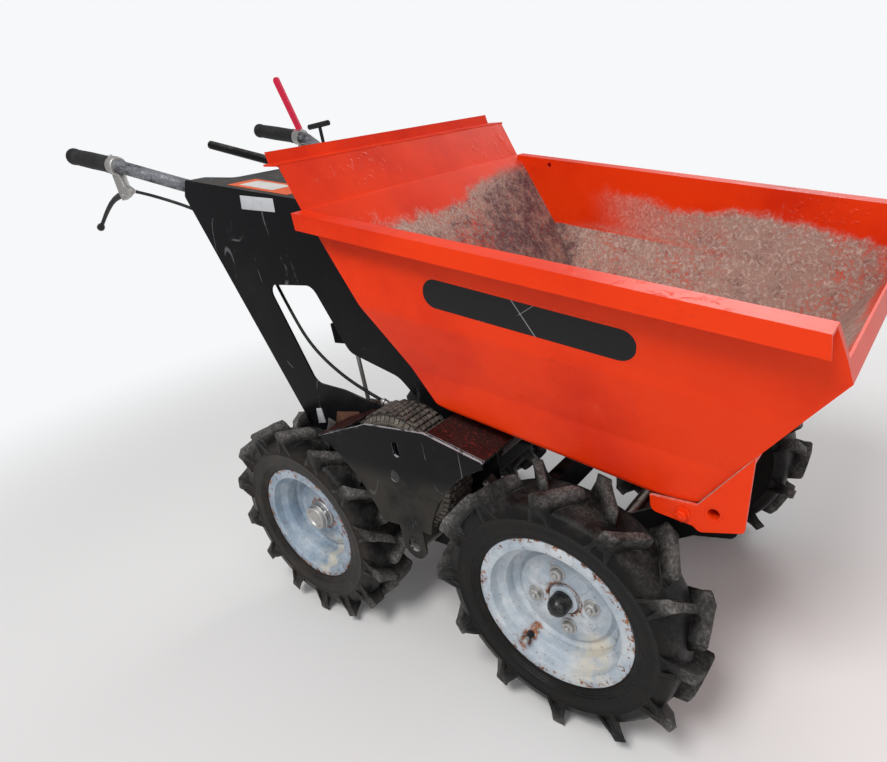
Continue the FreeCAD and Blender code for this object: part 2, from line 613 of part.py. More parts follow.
def grip():
    end, along = handle_point(0, 0, -1)
    body = Part.makeCylinder(GRIP_R, GRIP_LENGTH, end - along * GRIP_CAP, along)
    body = body.makeChamfer(4, [e for e in body.Edges if e.Closed][:1])
    return body.cut(Part.makeCylinder(HANDLE_R, GRIP_LENGTH, end, along))


LEVER_CLAMP_AT = 153.0
LEVER_CLAMP_LENGTH = 22.0
BRAKE_PIVOT_DROP = 57.0
BRAKE_TIP_DROP = 112.0
BRAKE_REACH = 166.0
ADJUSTER_LENGTH = 46.0
DRIVE_BARREL_DROP = 21.5
THROTTLE_BARREL_IN = 15.0
THROTTLE_TURN = math.radians(35)
THROTTLE_END_R = 114.0
DRIVE_CABLE_X = -165.0
DRIVE_CABLE_Y = 112.0


def brake_lever():
    """Clamp on the right handle with the curved lever, its ball and the cable's adjuster stop."""
    start, along = handle_point(0, LEVER_CLAMP_AT, -1)
    mid = start + along * (LEVER_CLAMP_LENGTH / 2)
    arm = box(mid.x - 11, mid.x + 11, mid.y - 6, mid.y + 6,
              mid.z - BRAKE_PIVOT_DROP - 8, mid.z - HANDLE_R - 3.5)
    tip = V(mid.x - BRAKE_REACH, mid.y, mid.z - BRAKE_TIP_DROP)
    lever = tube_along([V(mid.x, mid.y, mid.z - BRAKE_PIVOT_DROP),
                        V(mid.x - BRAKE_REACH * 0.5, mid.y, mid.z - BRAKE_TIP_DROP * 0.7), tip], [120], 4.5)
    adjuster = Part.makeCylinder(GLAND_R - 1, ADJUSTER_LENGTH, V(mid.x + 6, mid.y, mid.z - 46),
                                 V(1, 0, -0.2))
    clamp = sleeve(start, along, LEVER_CLAMP_LENGTH, CLAMP_WALL)
    return fuse([clamp, arm, lever, Part.makeSphere(8, tip), adjuster])


def drive_lever():
    """Clamp on the left handle with the flat drive lever standing on it."""
    start, along = handle_point(0, LEVER_CLAMP_AT, 1)
    mid = start + along * (LEVER_CLAMP_LENGTH / 2)
    blade = plate_xz([(mid.x - 4, mid.z + 16, 0), (mid.x + 14, mid.z + 16, 0), (mid.x - 30, mid.z + 144, 8),
                      (mid.x - 50, mid.z + 144, 8)], mid.y - 3, mid.y + 3)
    barrel = Part.makeCylinder(GLAND_R, 32, mid - along * 10 - V(0, 0, DRIVE_BARREL_DROP), along)
    return fuse([sleeve(start, along, LEVER_CLAMP_LENGTH, CLAMP_WALL), blade, barrel])


def throttle_lever():
    """Clamp on the left handle with a T-shaped throttle."""
    start, along = handle_point(1, 104.0, 1)
    mid = start + along * 10
    stem = bar_z(mid.x, mid.y, 4, mid.z + HANDLE_R + 3, mid.z + 62)
    tee = Part.makeCylinder(6, 68, V(mid.x - 36, mid.y, mid.z + 62), V(1, 0, 0))
    below = V(0, THROTTLE_BARREL_IN, THROTTLE_BARREL_IN)
    barrel = Part.makeCylinder(GLAND_R, 24, mid - along * 4 - below, along)
    return fuse([sleeve(start, along, 20, CLAMP_WALL - 1), stem, tee, barrel])


def gear_lever():
    return tube_along([V(-685, 0, LOAD_Z + 507), V(-420, 0, LOAD_Z + 430), V(-318, 0, LOAD_Z + 375)], [60],
                      GEAR_ROD_R)


def round_drive(extra, angle):
    """Point at extra beyond the drive tyre's radius, at an angle in degrees round the drive shaft."""
    r, turn = DRIVE_R + extra, math.radians(angle)
    return r * math.cos(turn), DRIVE_Z + r * math.sin(turn)


def cover(start, end, y0, y1):
    """Sloping sheet between two points of the guard's outline, as wide as the gap to the side panel."""
    (ax, az), (bx, bz) = start, end
    length = math.hypot(bx - ax, bz - az)
    nx, nz = (az - bz) / length * GUARD_SHEET, (bx - ax) / length * GUARD_SHEET
    return plate_xz([(ax, az, 0), (ax + nx, az + nz, 0), (bx + nx, bz + nz, 0), (bx, bz, 0)], y0, y1)


def guard():
    """Right drive guard: plate between the tyres with its two sloping covers."""
    y0, y1 = -GUARD_Y, -GUARD_Y + GUARD_SHEET
    lug_r = LUG_BORE_R * 2
    plate = plate_xz([(*round_drive(77, 166.9), 6), (*round_drive(-9, 117.1), 14),
                      (*round_drive(15.5, 47.7), 14), (*round_drive(88, 18), 6),
                      (150, LUG_Z - 50, 0), (-150, LUG_Z - 50, 0)], y0, y1)
    plate = plate.common(fuse([box(-200, 200, y0, y1, LUG_Z + 32, DRIVE_Z + DRIVE_R),
                               box(LUG_X - lug_r, LUG_X + lug_r, y0, y1, LUG_Z - 2, LUG_Z + 70),
                               bar_y(LUG_X, LUG_Z - 2, lug_r, y0, y1)]))
    shapes = [plate, cover(round_drive(16, 45.3), round_drive(87.3, 17.4), y1, -PANEL_Y),
              cover(round_drive(75, 167.4), round_drive(11, 145.3), y1, -PANEL_Y)]
    guard_shape = fuse(shapes)
    for x in (-AXLE_X, AXLE_X):
        guard_shape = guard_shape.cut(bar_y(x, TYRE_R, TYRE_R + 22, y0 - 1, y1))
        guard_shape = guard_shape.cut(bar_y(x, TYRE_R, TYRE_R + 12, y1, -PANEL_Y))
    for x, z, r in ((0.0, DRIVE_Z, DRIVE_SHAFT_R), (LUG_X, LUG_Z, LUG_BORE_R)):
        guard_shape = guard_shape.cut(bar_y(x, z, r, y0 - 1, y1 + 1))
    slot = [(10, 37), (22, 37), (22, 63), (10, 63)]
    return guard_shape.cut(plate_xz([(x, DRIVE_Z + z, 5.9) for x, z in slot], y0 - 1, y1 + 1))


def spreader():
    """Right tube between the lower guard lug and the side panel."""
    outer = bar_y(LUG_X, LUG_Z, LUG_BORE_R + LUG_WALL, -GUARD_Y + GUARD_SHEET, -PANEL_Y)
    return outer.cut(bar_y(LUG_X, LUG_Z, LUG_BORE_R, -GUARD_Y, -PANEL_Y + 1))


REST_REAR = 118.0
REST_FRONT = 143.0
REST_TOP = LOAD_Z + 36.0
REST_BOTTOM = LOAD_Z + 10.0
REST_WALL = 3.0


def rest_bar():
    """Cross bar under the skip's floor."""
    wall = REST_WALL
    bar = box(REST_REAR, REST_FRONT, -RAIL_Y, RAIL_Y, REST_BOTTOM, REST_TOP)
    return bar.cut(box(REST_REAR + wall, REST_FRONT - wall, -RAIL_Y - 1, RAIL_Y + 1,
                       REST_BOTTOM + wall, REST_TOP - wall))


def rest_pad(side):
    """Rubber wedge between the cross bar and the skip's floor."""
    rear = between(FLOOR_REAR, FLOOR_FRONT, REST_REAR) - SEAT_GAP
    front = between(FLOOR_REAR, FLOOR_FRONT, REST_FRONT) - SEAT_GAP
    return plate_xz([(REST_REAR, REST_TOP, 0), (REST_FRONT, REST_TOP, 0), (REST_FRONT, front, 0),
                     (REST_REAR, rear, 0)], side * 140 - 22, side * 140 + 22)


def engine_deck():
    low, skirt = DECK_Z - DECK_SHEET, 3.0
    top = box(DECK_REAR, DECK_FRONT, -DECK_HALF, DECK_HALF, low, DECK_Z)
    wings = box(-110, 10, -RAIL_Y, RAIL_Y, low, DECK_Z)
    skirts = [box(DECK_REAR, DECK_FRONT, y, y + skirt, DECK_Z - DECK_DROP, low)
              for y in (-DECK_HALF, DECK_HALF - skirt)]
    tabs = [box(-100, 0, y, y + skirt, DECK_Z - DECK_DROP, low) for y in (-RAIL_Y, RAIL_Y - skirt)]
    return fuse([top, wings] + skirts + tabs)


def engine_block():
    """Crankcase with its finned cylinder to the rear and lugs for the tank and the muffler."""
    base = bar_z(ENGINE_X, 0, CASE_R + 10, DECK_Z, DECK_Z + 16)
    crankcase = bar_z(ENGINE_X, 0, CASE_R, DECK_Z + 16, CASE_TOP)
    cylinder = box(ENGINE_X - 146, ENGINE_X, -36, 36, DECK_Z + 28, CASE_TOP - 12)
    fins = []
    for i in range(FIN_COUNT):
        z = DECK_Z + 26 + i * FIN_PITCH
        fins.append(box(ENGINE_X - 142, ENGINE_X - 80, -FIN_HALF, FIN_HALF, z, z + 3))
    lugs = box(ENGINE_X - 30, ENGINE_X + 30, -CASE_R - 5.7, CASE_R + 5.7, CASE_TOP - 60, CASE_TOP - 20)
    return fuse([base, crankcase, cylinder, lugs] + fins)


def engine_shroud():
    low = bar_z(ENGINE_X, 0, SHROUD_R, CASE_TOP, CASE_TOP + 51)
    dome = Part.makeCone(SHROUD_R, 62, 24, V(ENGINE_X, 0, CASE_TOP + 51), V(0, 0, 1))
    cap = bar_z(ENGINE_X, 0, 40, CASE_TOP + 75, CASE_TOP + 83)
    out = V(-math.cos(THROTTLE_TURN), math.sin(THROTTLE_TURN), 0)
    gland_foot = V(ENGINE_X, 0, CASE_TOP + 23) + out * (SHROUD_R - 3)
    gland = Part.makeCylinder(GLAND_R, THROTTLE_END_R - SHROUD_R + 3, gland_foot, out)
    return fuse([low, dome, cap, gland])


def fuel_tank():
    y0 = CASE_R + 6
    rear, front, depth, bend = ENGINE_X - 75, ENGINE_X + 55, 66.0, 14.0
    tank = block_xy(rear, front, y0, y0 + depth, bend, DECK_Z + 22, CASE_TOP - 4)
    return fuse([tank, bar_z(ENGINE_X - 40, y0 + depth / 2, 17, CASE_TOP - 5, CASE_TOP + 10)])


def muffler():
    """Rounded box on the right of the crankcase, with its outlet pointing to the rear."""
    y0 = -CASE_R - 6
    rear, front, depth, bend = ENGINE_X - 65, ENGINE_X + 55, 56.0, 12.0
    body = block_xy(rear, front, y0 - depth, y0, bend, DECK_Z + 25, CASE_TOP - 9)
    outlet = Part.makeCylinder(11, 21, V(rear + 1, y0 - depth / 2, DECK_Z + 62), V(-1, 0, 0))
    return fuse([body, outlet])


def air_filter():
    """Filter box on its intake pipe, beside the fins."""
    rear, front, inner, outer, bend = ENGINE_X - 156, ENGINE_X - 88, 58.0, 122.0, 16.0
    case = block_xy(rear, front, inner, outer, bend, DECK_Z + 37, CASE_TOP - 5)
    return fuse([case, bar_y((rear + front) / 2, DECK_Z + 60, 13, FIN_HALF + SEAT_GAP, inner + 1)])


def reduction_case():
    """Pan under the deck with the pin for the linkage rod."""
    half = CASE_HALF
    case = block_xy(ENGINE_X - 102, ENGINE_X + 120, -half, half, 30, CASE_FLOOR, DECK_Z - DECK_SHEET)
    gland = bar_y(DRIVE_CABLE_X, CASE_FLOOR + 7, GLAND_R, half - 4, DRIVE_CABLE_Y)
    return fuse([case, gland, bar_y(ROD_X, ROD_TOP, ROD_PIN_R, -ROD_Y - 7, -half + 6)])


def transaxle():
    """Gear case on the drive shaft, its tower and the shift arm that the linkage rod moves."""
    half = 96.0
    case = plate_xz([(-92, DRIVE_Z - 60, 30), (74, DRIVE_Z - 60, 30), (74, DRIVE_Z + 62, 30),
                     (-92, DRIVE_Z + 62, 18)], -half, half)
    tower = bar_z(-66, 0, 26, DRIVE_Z + 44, CASE_FLOOR)
    reach = RAIL_Y - 22 - half
    arms = [Part.makeCylinder(26, reach, V(0, s * (half - 1), DRIVE_Z), V(0, s, 0)) for s in (-1, 1)]
    stub_x, arm_y = -70.0, -ROD_Y + 4
    stub = bar_y(stub_x, ROD_FOOT - 10, 8, arm_y - 1, -half + 6)
    arm = plate_xz([(stub_x + 12, ROD_FOOT - 20, 8), (stub_x + 12, ROD_FOOT + 2, 8),
                    (ROD_X - 9, ROD_FOOT + 9, 8), (ROD_X - 9, ROD_FOOT - 9, 8)], arm_y, arm_y + 5)
    pin = bar_y(ROD_X, ROD_FOOT, ROD_PIN_R, -ROD_Y - 7, arm_y + 2)
    body = fuse([case, tower, stub, arm, pin] + arms)
    return body.cut(bar_y(0, DRIVE_Z, DRIVE_SHAFT_R, -RAIL_Y, RAIL_Y))


def drive_shaft():
    return bar_y(0, DRIVE_Z, DRIVE_SHAFT_R, -GUARD_Y + 1, GUARD_Y - 1)


def brake_drum():
    """Drum on the shaft between the gear case and the right side panel."""
    outer, inner, r = -RAIL_Y + 3, -RAIL_Y + 20, 50.0
    return turned_y([(DRIVE_SHAFT_R, outer, 0), (r - 3, outer, 0), (r, outer + 3, 0), (r, inner - 3, 0),
                     (r - 3, inner, 0), (DRIVE_SHAFT_R, inner, 0)], 0, DRIVE_Z)


def linkage_rod():
    """Upright rod with an eye on each pin."""
    y0, y1 = -ROD_Y - 5, -ROD_Y + 3.7
    rod = bar_z(ROD_X, (y0 + y1) / 2, 4, ROD_FOOT + 6, ROD_TOP - 6)
    eyes = [bar_y(ROD_X, z, ROD_PIN_R + 4, y0, y1) for z in (ROD_FOOT, ROD_TOP)]
    link = fuse([rod] + eyes)
    for z in (ROD_FOOT, ROD_TOP):
        link = link.cut(bar_y(ROD_X, z, ROD_PIN_R + SHAFT_CLEAR, y0 - 1, y1 + 1))
    return link


# Cable routes in X, Y and Z, from the lever to the brake, the gear case and the engine
BRAKE_ROUTE = [(-611.1, -236.6, 838.2), (-557, -236.6, 827.4), (-493, -192, 787), (-425, -166, 738),
               (-366, -160, 672), (-324, -168, 594), (-275, -177, 520), (-200, -181, 466), (-108, -184, 430),
               (-20, -189.5, 405.1)]
DRIVE_ROUTE = [(-640.8, 236.0, 866.7), (-570.7, 234.1, 850.1), (-506, 197, 803), (-436, 172, 761),
               (-380, 166, 697), (-345, 170, 618), (-306, 175, 541), (-240, 173, 484), (-169, 168, 472.5),
               (-165, 112.3, 472)]
THROTTLE_ROUTE = [(-522.7, 178.7, 823.0), (-461.6, 156.7, 797), (-405, 146, 744), (-345, 126, 703),
                  (-284.6, 94.4, 673.5), (-243.6, 65.6, 672)]


def cable(name, route):
    """Round cable along its route, each bend as large as its two runs allow."""
    points = [V(*p) for p in route]
    bends = []
    for before, corner, after in zip(points, points[1:], points[2:]):
        run_in, run_out = corner - before, after - corner
        turn = run_in.getAngle(run_out)
        bends.append(0.45 * min(run_in.Length, run_out.Length) / math.tan(turn / 2))
    tube = tube_along(points, bends, CABLE_R)
    print(name, "cable: bend radii", [round(r) for r in bends],
          "length by volume", round(tube.Volume / (math.pi * CABLE_R ** 2), 1))
    return tube


PARTS = {}


def add(name, shape):
    PARTS[name] = shape


def add_pair(name, shape):
    add(name + "_right", shape)
    add(name + "_left", mirrored(shape))


add_pair("chassis_rail", rail())
add("cross_members", Part.makeCompound([cross_member(x) for x in CROSS_X]))
add("front_axle", front_axle())
add("rear_axle", rear_axle())
add("pivot_tube", pivot_tube())
add_pair("side_panel", side_panel())
add("console_top", console_top())
add_pair("handle", handle())
add_pair("grip", grip())
add("brake_lever", brake_lever())
add("drive_lever", drive_lever())
add("throttle_lever", throttle_lever())
add("gear_lever", gear_lever())
add_pair("drive_guard", guard())
add_pair("guard_spreader", spreader())
add("rest_bar", rest_bar())
add("rest_pads", Part.makeCompound([rest_pad(-1), rest_pad(1)]))
add("engine_deck", engine_deck())
add("engine_block", engine_block())
add("engine_shroud", engine_shroud())
add("fuel_tank", fuel_tank())
add("muffler", muffler())
add("reduction_case", reduction_case())
add("transaxle", transaxle())
add("drive_shaft", drive_shaft())
add("brake_drum", brake_drum())
add("linkage_rod", linkage_rod())
add("air_filter", air_filter())
add("control_cables", Part.makeCompound([cable("brake", BRAKE_ROUTE), cable("drive", DRIVE_ROUTE),
                                         cable("throttle", THROTTLE_ROUTE)]))
add("skip_shell", skip_shell())
add_pair("skip_bracket", skip_bracket())
for end, x, lugs in (("front", AXLE_X, LUGS_FRONT), ("rear", -AXLE_X, LUGS_REAR)):
    add_pair("tyre_" + end, tyre(x, lugs))
add_pair("rim_front", front_rim())
add_pair("rim_rear", rear_rim())
add_pair("drive_tyre", drive_tyre())
add_pair("drive_rim", drive_rim())

whole = Part.makeCompound(list(PARTS.values())).optimalBoundingBox(False)
shift_x = -(whole.XMin + whole.XMax) / 2
print("shift along x", round(shift_x, 4), "length", round(whole.XLength, 2),
      "width", round(whole.YLength, 2), "height", round(whole.ZLength, 2))
os.makedirs("parts", exist_ok=True)
for name, shape in PARTS.items():
    shape.translate(V(shift_x, 0, 0))
    shape.exportStep("parts/" + name + ".step")
    print(name, "solids", len(shape.Solids), "volume", round(shape.Volume), "valid", shape.isValid())
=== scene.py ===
import json
import math

import bpy
import bmesh
from mathutils import Matrix, Vector
from mathutils.bvhtree import BVHTree


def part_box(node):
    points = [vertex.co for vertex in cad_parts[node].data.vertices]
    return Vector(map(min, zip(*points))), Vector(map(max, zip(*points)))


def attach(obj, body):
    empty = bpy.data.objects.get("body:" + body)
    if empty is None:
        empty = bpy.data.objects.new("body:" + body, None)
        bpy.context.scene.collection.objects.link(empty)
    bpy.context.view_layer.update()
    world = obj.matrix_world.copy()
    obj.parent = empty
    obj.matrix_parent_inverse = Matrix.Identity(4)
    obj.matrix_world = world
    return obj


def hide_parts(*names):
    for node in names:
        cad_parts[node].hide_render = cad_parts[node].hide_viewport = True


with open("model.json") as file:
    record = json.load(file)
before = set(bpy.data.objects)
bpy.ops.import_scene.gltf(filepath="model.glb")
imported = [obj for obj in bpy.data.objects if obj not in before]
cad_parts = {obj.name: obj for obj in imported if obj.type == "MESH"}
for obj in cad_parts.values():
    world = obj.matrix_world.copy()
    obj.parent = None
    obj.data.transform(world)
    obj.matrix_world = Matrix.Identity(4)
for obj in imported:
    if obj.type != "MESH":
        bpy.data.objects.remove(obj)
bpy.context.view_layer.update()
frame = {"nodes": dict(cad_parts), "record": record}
print("frame loaded, pieces", len(frame["nodes"]))

frontLow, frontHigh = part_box("tyre_front_right")
rearLow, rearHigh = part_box("tyre_rear_right")
driveLow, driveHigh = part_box("drive_tyre_right")
middle = {  # measured on the frame, in metres
    "x": (frontLow.x + frontHigh.x + rearLow.x + rearHigh.x) / 4,
    "tyreRadius": (frontHigh.z - frontLow.z) / 2,
    "axle": (frontLow.x + frontHigh.x - rearLow.x - rearHigh.x) / 4,
    "driveHeight": (driveLow.z + driveHigh.z) / 2,
}
mm = 0.001
wheelX = {"front": middle["x"] + middle["axle"], "rear": middle["x"] - middle["axle"]}
wheels = {  # rim and centre hole radius in millimetres, lugs a side and their share of the front lugs' width
    "front": {"rim": 120, "hole": 26, "lugs": 12, "wide": 1.0},
    "rear": {"rim": 115, "hole": 30, "lugs": 14, "wide": 1.12},
}


def at(x, y, z):
    # millimetres from the ground point midway between the axles
    return Vector((middle["x"] + x * mm, y * mm, z * mm))


class Wire:
    def __init__(self, sheet, socket):
        self.sheet = sheet
        self.socket = socket

    def reckon(self, operation, values):
        return self.sheet.node("Math", {"operation": operation}, values)

    def __add__(self, other):
        return self.reckon("ADD", [self, other])

    def __radd__(self, other):
        return self.reckon("ADD", [other, self])

    def __sub__(self, other):
        return self.reckon("SUBTRACT", [self, other])

    def __rsub__(self, other):
        return self.reckon("SUBTRACT", [other, self])

    def __mul__(self, other):
        return self.reckon("MULTIPLY", [self, other])

    def __rmul__(self, other):
        return self.reckon("MULTIPLY", [other, self])

    def __abs__(self):
        return self.reckon("ABSOLUTE", [self])


class Sheet:
    def __init__(self, name):
        self.material = bpy.data.materials.new(name)
        self.material.use_nodes = True
        self.tree = self.material.node_tree
        self.surface = self.tree.nodes["Principled BSDF"]
        self.object = self.node("TexCoord", {}, {}, "Object")

    def feed(self, socket, value):
        if isinstance(value, Wire):
            self.tree.links.new(value.socket, socket)
        elif isinstance(value, (tuple, list)) and len(value) == 3 and len(socket.default_value) == 4:
            socket.default_value = (*value, 1)
        else:
            socket.default_value = value

    def node(self, kind, settings, values, out=0):
        made = self.tree.nodes.new("ShaderNode" + kind)
        for key, value in settings.items():
            setattr(made, key, value)
        named = enumerate(values) if isinstance(values, list) else values.items()
        for key, value in named:
            self.feed(made.inputs[key], value)
        return Wire(self, made.outputs[out])

    def vector(self, operation, values, out=0):
        return self.node("VectorMath", {"operation": operation}, values, out)

    def axis(self, letter, source=None):
        return self.node("SeparateXYZ", {}, [source or self.object], letter)

    def normal(self, letter):
        return self.axis(letter, self.node("TexCoord", {}, {}, "Normal"))

    def noise(self, scale, detail=4, roughness=0.6, where=None):
        values = {"Vector": where or self.object, "Scale": scale, "Detail": detail, "Roughness": roughness}
        return self.node("TexNoise", {}, values)

    def stretched(self, x, y, z):
        return self.vector("MULTIPLY", [self.object, (x, y, z)])

    def radius(self, x, z):
        # distance from a line across the machine
        moved = self.vector("SUBTRACT", [self.object, (x, 0, z)])
        return self.vector("LENGTH", [self.vector("MULTIPLY", [moved, (1, 0, 1)])], "Value")

    def step(self, value, low, high):
        ends = {"Value": value, "From Min": low, "From Max": high}
        return self.node("MapRange", {"interpolation_type": "SMOOTHSTEP"}, ends)

    def tint(self, factor, first, second):
        made = self.tree.nodes.new("ShaderNodeMix")
        made.data_type = "RGBA"
        for index, value in ((0, factor), (6, first), (7, second)):
            self.feed(made.inputs[index], value)
        return Wire(self, made.outputs[2])

    def worn(self, radius, low=0.02, high=0.25):
        # 1 on outward and inward edges, 0 on flat places
        rounded = self.node("Bevel", {"samples": 6}, {"Radius": radius}, "Normal")
        plain = self.node("NewGeometry", {}, {}, "Normal")
        return self.step(1 - self.vector("DOT_PRODUCT", [rounded, plain], "Value"), low, high)

    def bump(self, height, distance, strength=1.0):
        return self.node("Bump", {}, {"Height": height, "Distance": distance, "Strength": strength})

    def finish(self, **sockets):
        for key, value in sockets.items():
            self.feed(self.surface.inputs[key.replace("_", " ")], value)
        return self.material


paint = {
    "orange": (0.80, 0.040, 0.003),
    "orangeDeep": (0.60, 0.020, 0.002),
    "orangeFaded": (0.80, 0.12, 0.05),
    "soil": (0.42, 0.25, 0.20),
    "soilDark": (0.10, 0.050, 0.056),
    "soilPale": (0.68, 0.50, 0.43),
    "rust": (0.15, 0.05, 0.024),
    "rustBright": (0.36, 0.13, 0.04),
    "darkRed": (0.09, 0.012, 0.008),
    "black": (0.007, 0.007, 0.008),
    "blackDusty": (0.020, 0.020, 0.020),
    "scuff": (0.13, 0.13, 0.135),
    "bareEdge": (0.42, 0.43, 0.45),
    "dust": (0.17, 0.155, 0.14),
    # rim paint: white darkened to a bluish grey, painted shade
    "rimWhiteShaded": (0.36, 0.42, 0.48),
    "rimPaleShaded": (0.58, 0.61, 0.63),
    "cream": (0.62, 0.55, 0.42),
    "smudge": (0.10, 0.10, 0.11),
}
rimLine = {"atMiddle": 0.7568, "slope": 0.2268}  # height of the skip's top edge along the machine


def skipPaint():
    s = Sheet("skipPaint")
    c = paint
    x, y, height = s.axis("X") - middle["x"], s.axis("Y"), s.axis("Z")
    depth = rimLine["atMiddle"] - rimLine["slope"] * x - height
    color = s.tint(s.step(s.noise(4, 5, 0.6), 0.38, 0.72), c["orange"], c["orangeDeep"])
    color = s.tint(s.step(s.noise(30, 6, 0.75), 0.60, 0.8) * 0.35, color, c["orangeFaded"])
    inside = s.step(s.normal("Z"), 0.02, 0.08) * s.step(depth, 0.006, 0.03) * s.step(height, 0.386, 0.392)
    # rear: the rear of the bin, lower down and towards the far wall; it gets more earth, and that earth is painted
    # darker with fewer pale grains as painted shade from the rear wall
    rear = s.step(x, 0.075, 0.03) * s.step(depth + y * 0.28, 0.02, 0.12)
    low = s.step(depth, 0.025, 0.085) * s.step(x, 0.600, 0.52) + rear
    patches = s.noise(7, 7, 0.68)
    speckle = s.noise(170, 5, 0.85)
    grit = s.step(speckle, 0.44, 0.62)
    worn = s.step(patches + low * 0.42 + speckle * 0.16, 0.62, 0.84) * inside
    # earth under the rear mask is darkened and loses pale grains: painted shade from the rear wall
    earth = s.tint(s.step(s.noise(38, 6, 0.8) - rear * 0.16 + 0.1, 0.35, 0.62), c["soilDark"], c["soil"])
    earth = s.tint(grit * (1 - rear * 0.7), earth, c["soilPale"])
    earth = s.tint(s.step(s.noise(85, 5, 0.8), 0.62, 0.70), earth, c["orangeFaded"])
    color = s.tint(worn * s.step(speckle + patches * 0.5, 0.50, 0.72), color, earth)
    edge = s.worn(0.0016, 0.03, 0.3) * s.step(s.noise(60, 4, 0.7), 0.56, 0.68)
    color = s.tint(edge * 0.75, color, c["darkRed"])
    blister = s.step(s.noise(95, 3, 0.6), 0.56, 0.72) * s.step(s.noise(6, 3), 0.52, 0.66)
    drips = s.step(s.noise(24, 3, 0.6, s.stretched(1, 1, 0.12)), 0.52, 0.72)
    drips = drips * (1 - inside) * s.step(abs(y), 0.23, 0.25)
    rough = 0.24 + worn * 0.5 + s.noise(12, 4) * 0.12
    grain = s.bump(grit * worn * 0.9 + blister * 0.8 + drips * 0.5 + s.noise(320, 2) * 0.12, 0.0010, 0.8)
    return s.finish(Base_Color=color, Roughness=rough, Normal=grain, Specular_IOR_Level=0.16)


def blackPaint(name, dusty, chips, speckled=0.0):
    s = Sheet(name)
    c = paint
    color = s.tint(s.step(s.noise(6, 6, 0.7), 0.45, 0.8) * dusty, c["black"], c["blackDusty"])
    streak = s.step(s.noise(26, 8, 0.8, s.stretched(1, 1, 0.3)), 0.60, 0.70)
    hairline = s.step(abs(s.noise(6, 2, 0.5, s.stretched(1, 1, 0.4)) - 0.5), 0.004, 0.001)
    scratch = hairline * s.step(s.noise(11, 3), 0.54, 0.60)
    color = s.tint(streak * 0.5 + scratch * 0.8, color, c["scuff"])
    edge = s.worn(0.0013, 0.02, 0.3) * s.step(s.noise(40, 5, 0.75), 0.46, 0.58)
    color = s.tint(edge * chips, color, c["bareEdge"])
    settled = s.step(s.normal("Z"), 0.35, 0.95) * s.step(s.noise(20, 6, 0.7), 0.36, 0.66)
    color = s.tint(settled * dusty, color, c["dust"])
    if speckled:
        upward, out = s.step(s.normal("Z"), 0.25, 0.6), abs(s.axis("Y"))
        plateEdge = upward * s.step(out, 0.2800, 0.2808)
        sloping = upward * s.step(out, 0.2808, 0.2800)
        red = s.tint(s.step(s.noise(210, 4, 0.85), 0.56, 0.62), (0.028, 0.008, 0.007), (0.16, 0.020, 0.012))
        color = s.tint(sloping * speckled, color, red)
        low = s.step(s.axis("Z"), 0.375, 0.335) * s.step(s.noise(10, 5, 0.7), 0.25, 0.55)
        color = s.tint(low * (1 - sloping) * 0.6, color, (0.050, 0.044, 0.036))
        color = s.tint(plateEdge * s.step(s.noise(45, 5, 0.75), 0.38, 0.52) * 0.8, color, c["bareEdge"])
    rough = 0.20 + streak * 0.25 + settled * 0.4 + s.noise(50, 3) * 0.08
    relief = s.bump(s.noise(260, 3) * 0.25 - edge * 0.6 + s.noise(9, 2) * 0.8, 0.0006, 0.5)
    return s.finish(Base_Color=color, Roughness=rough, Normal=relief, Specular_IOR_Level=0.07)


def tyreRubber(name, centre, browned):
    s = Sheet(name)
    black, grey, pale = (0.006, 0.006, 0.006), (0.075, 0.070, 0.067), (0.27, 0.255, 0.24)
    brown = (0.040, 0.032, 0.026)
    r = s.radius(*centre)
    tread = s.step(r, 0.176, 0.1975)
    crown = s.step(r, 0.160, 0.178)
    grime = s.step(s.noise(20, 7, 0.72), 0.40, 0.66)
    fine = s.step(s.noise(230, 4, 0.75), 0.40, 0.66)
    color = s.tint(browned * (1 - crown) * (0.35 + grime * 0.5), black, brown)
    color = s.tint(crown * grime * (0.25 + fine * 0.45), color, grey)
    color = s.tint(tread * s.step(s.noise(9, 6, 0.7), 0.34, 0.62) * (0.22 + fine * 0.5), color, pale)
    edge = s.worn(0.0025, 0.03, 0.35) * s.step(s.noise(50, 5), 0.45, 0.62)
    color = s.tint(edge * 0.3, color, pale)
    relief = s.bump(s.noise(420, 3) * 0.3 + fine * 0.35 + s.noise(60, 4) * 0.3, 0.0005, 0.8)
    rough = 0.34 + crown * grime * 0.25 + tread * 0.2
    return s.finish(Base_Color=color, Roughness=rough, Normal=relief, Specular_IOR_Level=0.12)


def driveRubber():
    s = Sheet("driveRubber")
    r = s.radius(middle["x"], middle["driveHeight"])
    top = s.step(r, 0.0995, 0.1025)
    mud = s.step(s.noise(45, 7, 0.75), 0.40, 0.64)
    shoulder = s.step(r, 0.0995, 0.097) * s.step(r, 0.082, 0.088)
    color = s.tint(mud * 0.6, (0.012, 0.010, 0.009), (0.050, 0.040, 0.032))
    color = s.tint(shoulder * (0.35 + mud * 0.3), color, (0.27, 0.24, 0.20))
    color = s.tint(top, color, s.tint(mud, (0.060, 0.050, 0.046), (0.150, 0.125, 0.105)))
    edge = s.worn(0.0008, 0.03, 0.35)
    color = s.tint(edge * 0.35, color, (0.33, 0.31, 0.28))
    relief = s.bump(s.noise(380, 4) * 0.5 + mud * 0.4, 0.0005, 0.8)
    return s.finish(Base_Color=color, Roughness=0.62 + mud * 0.2, Normal=relief, Specular_IOR_Level=0.2)


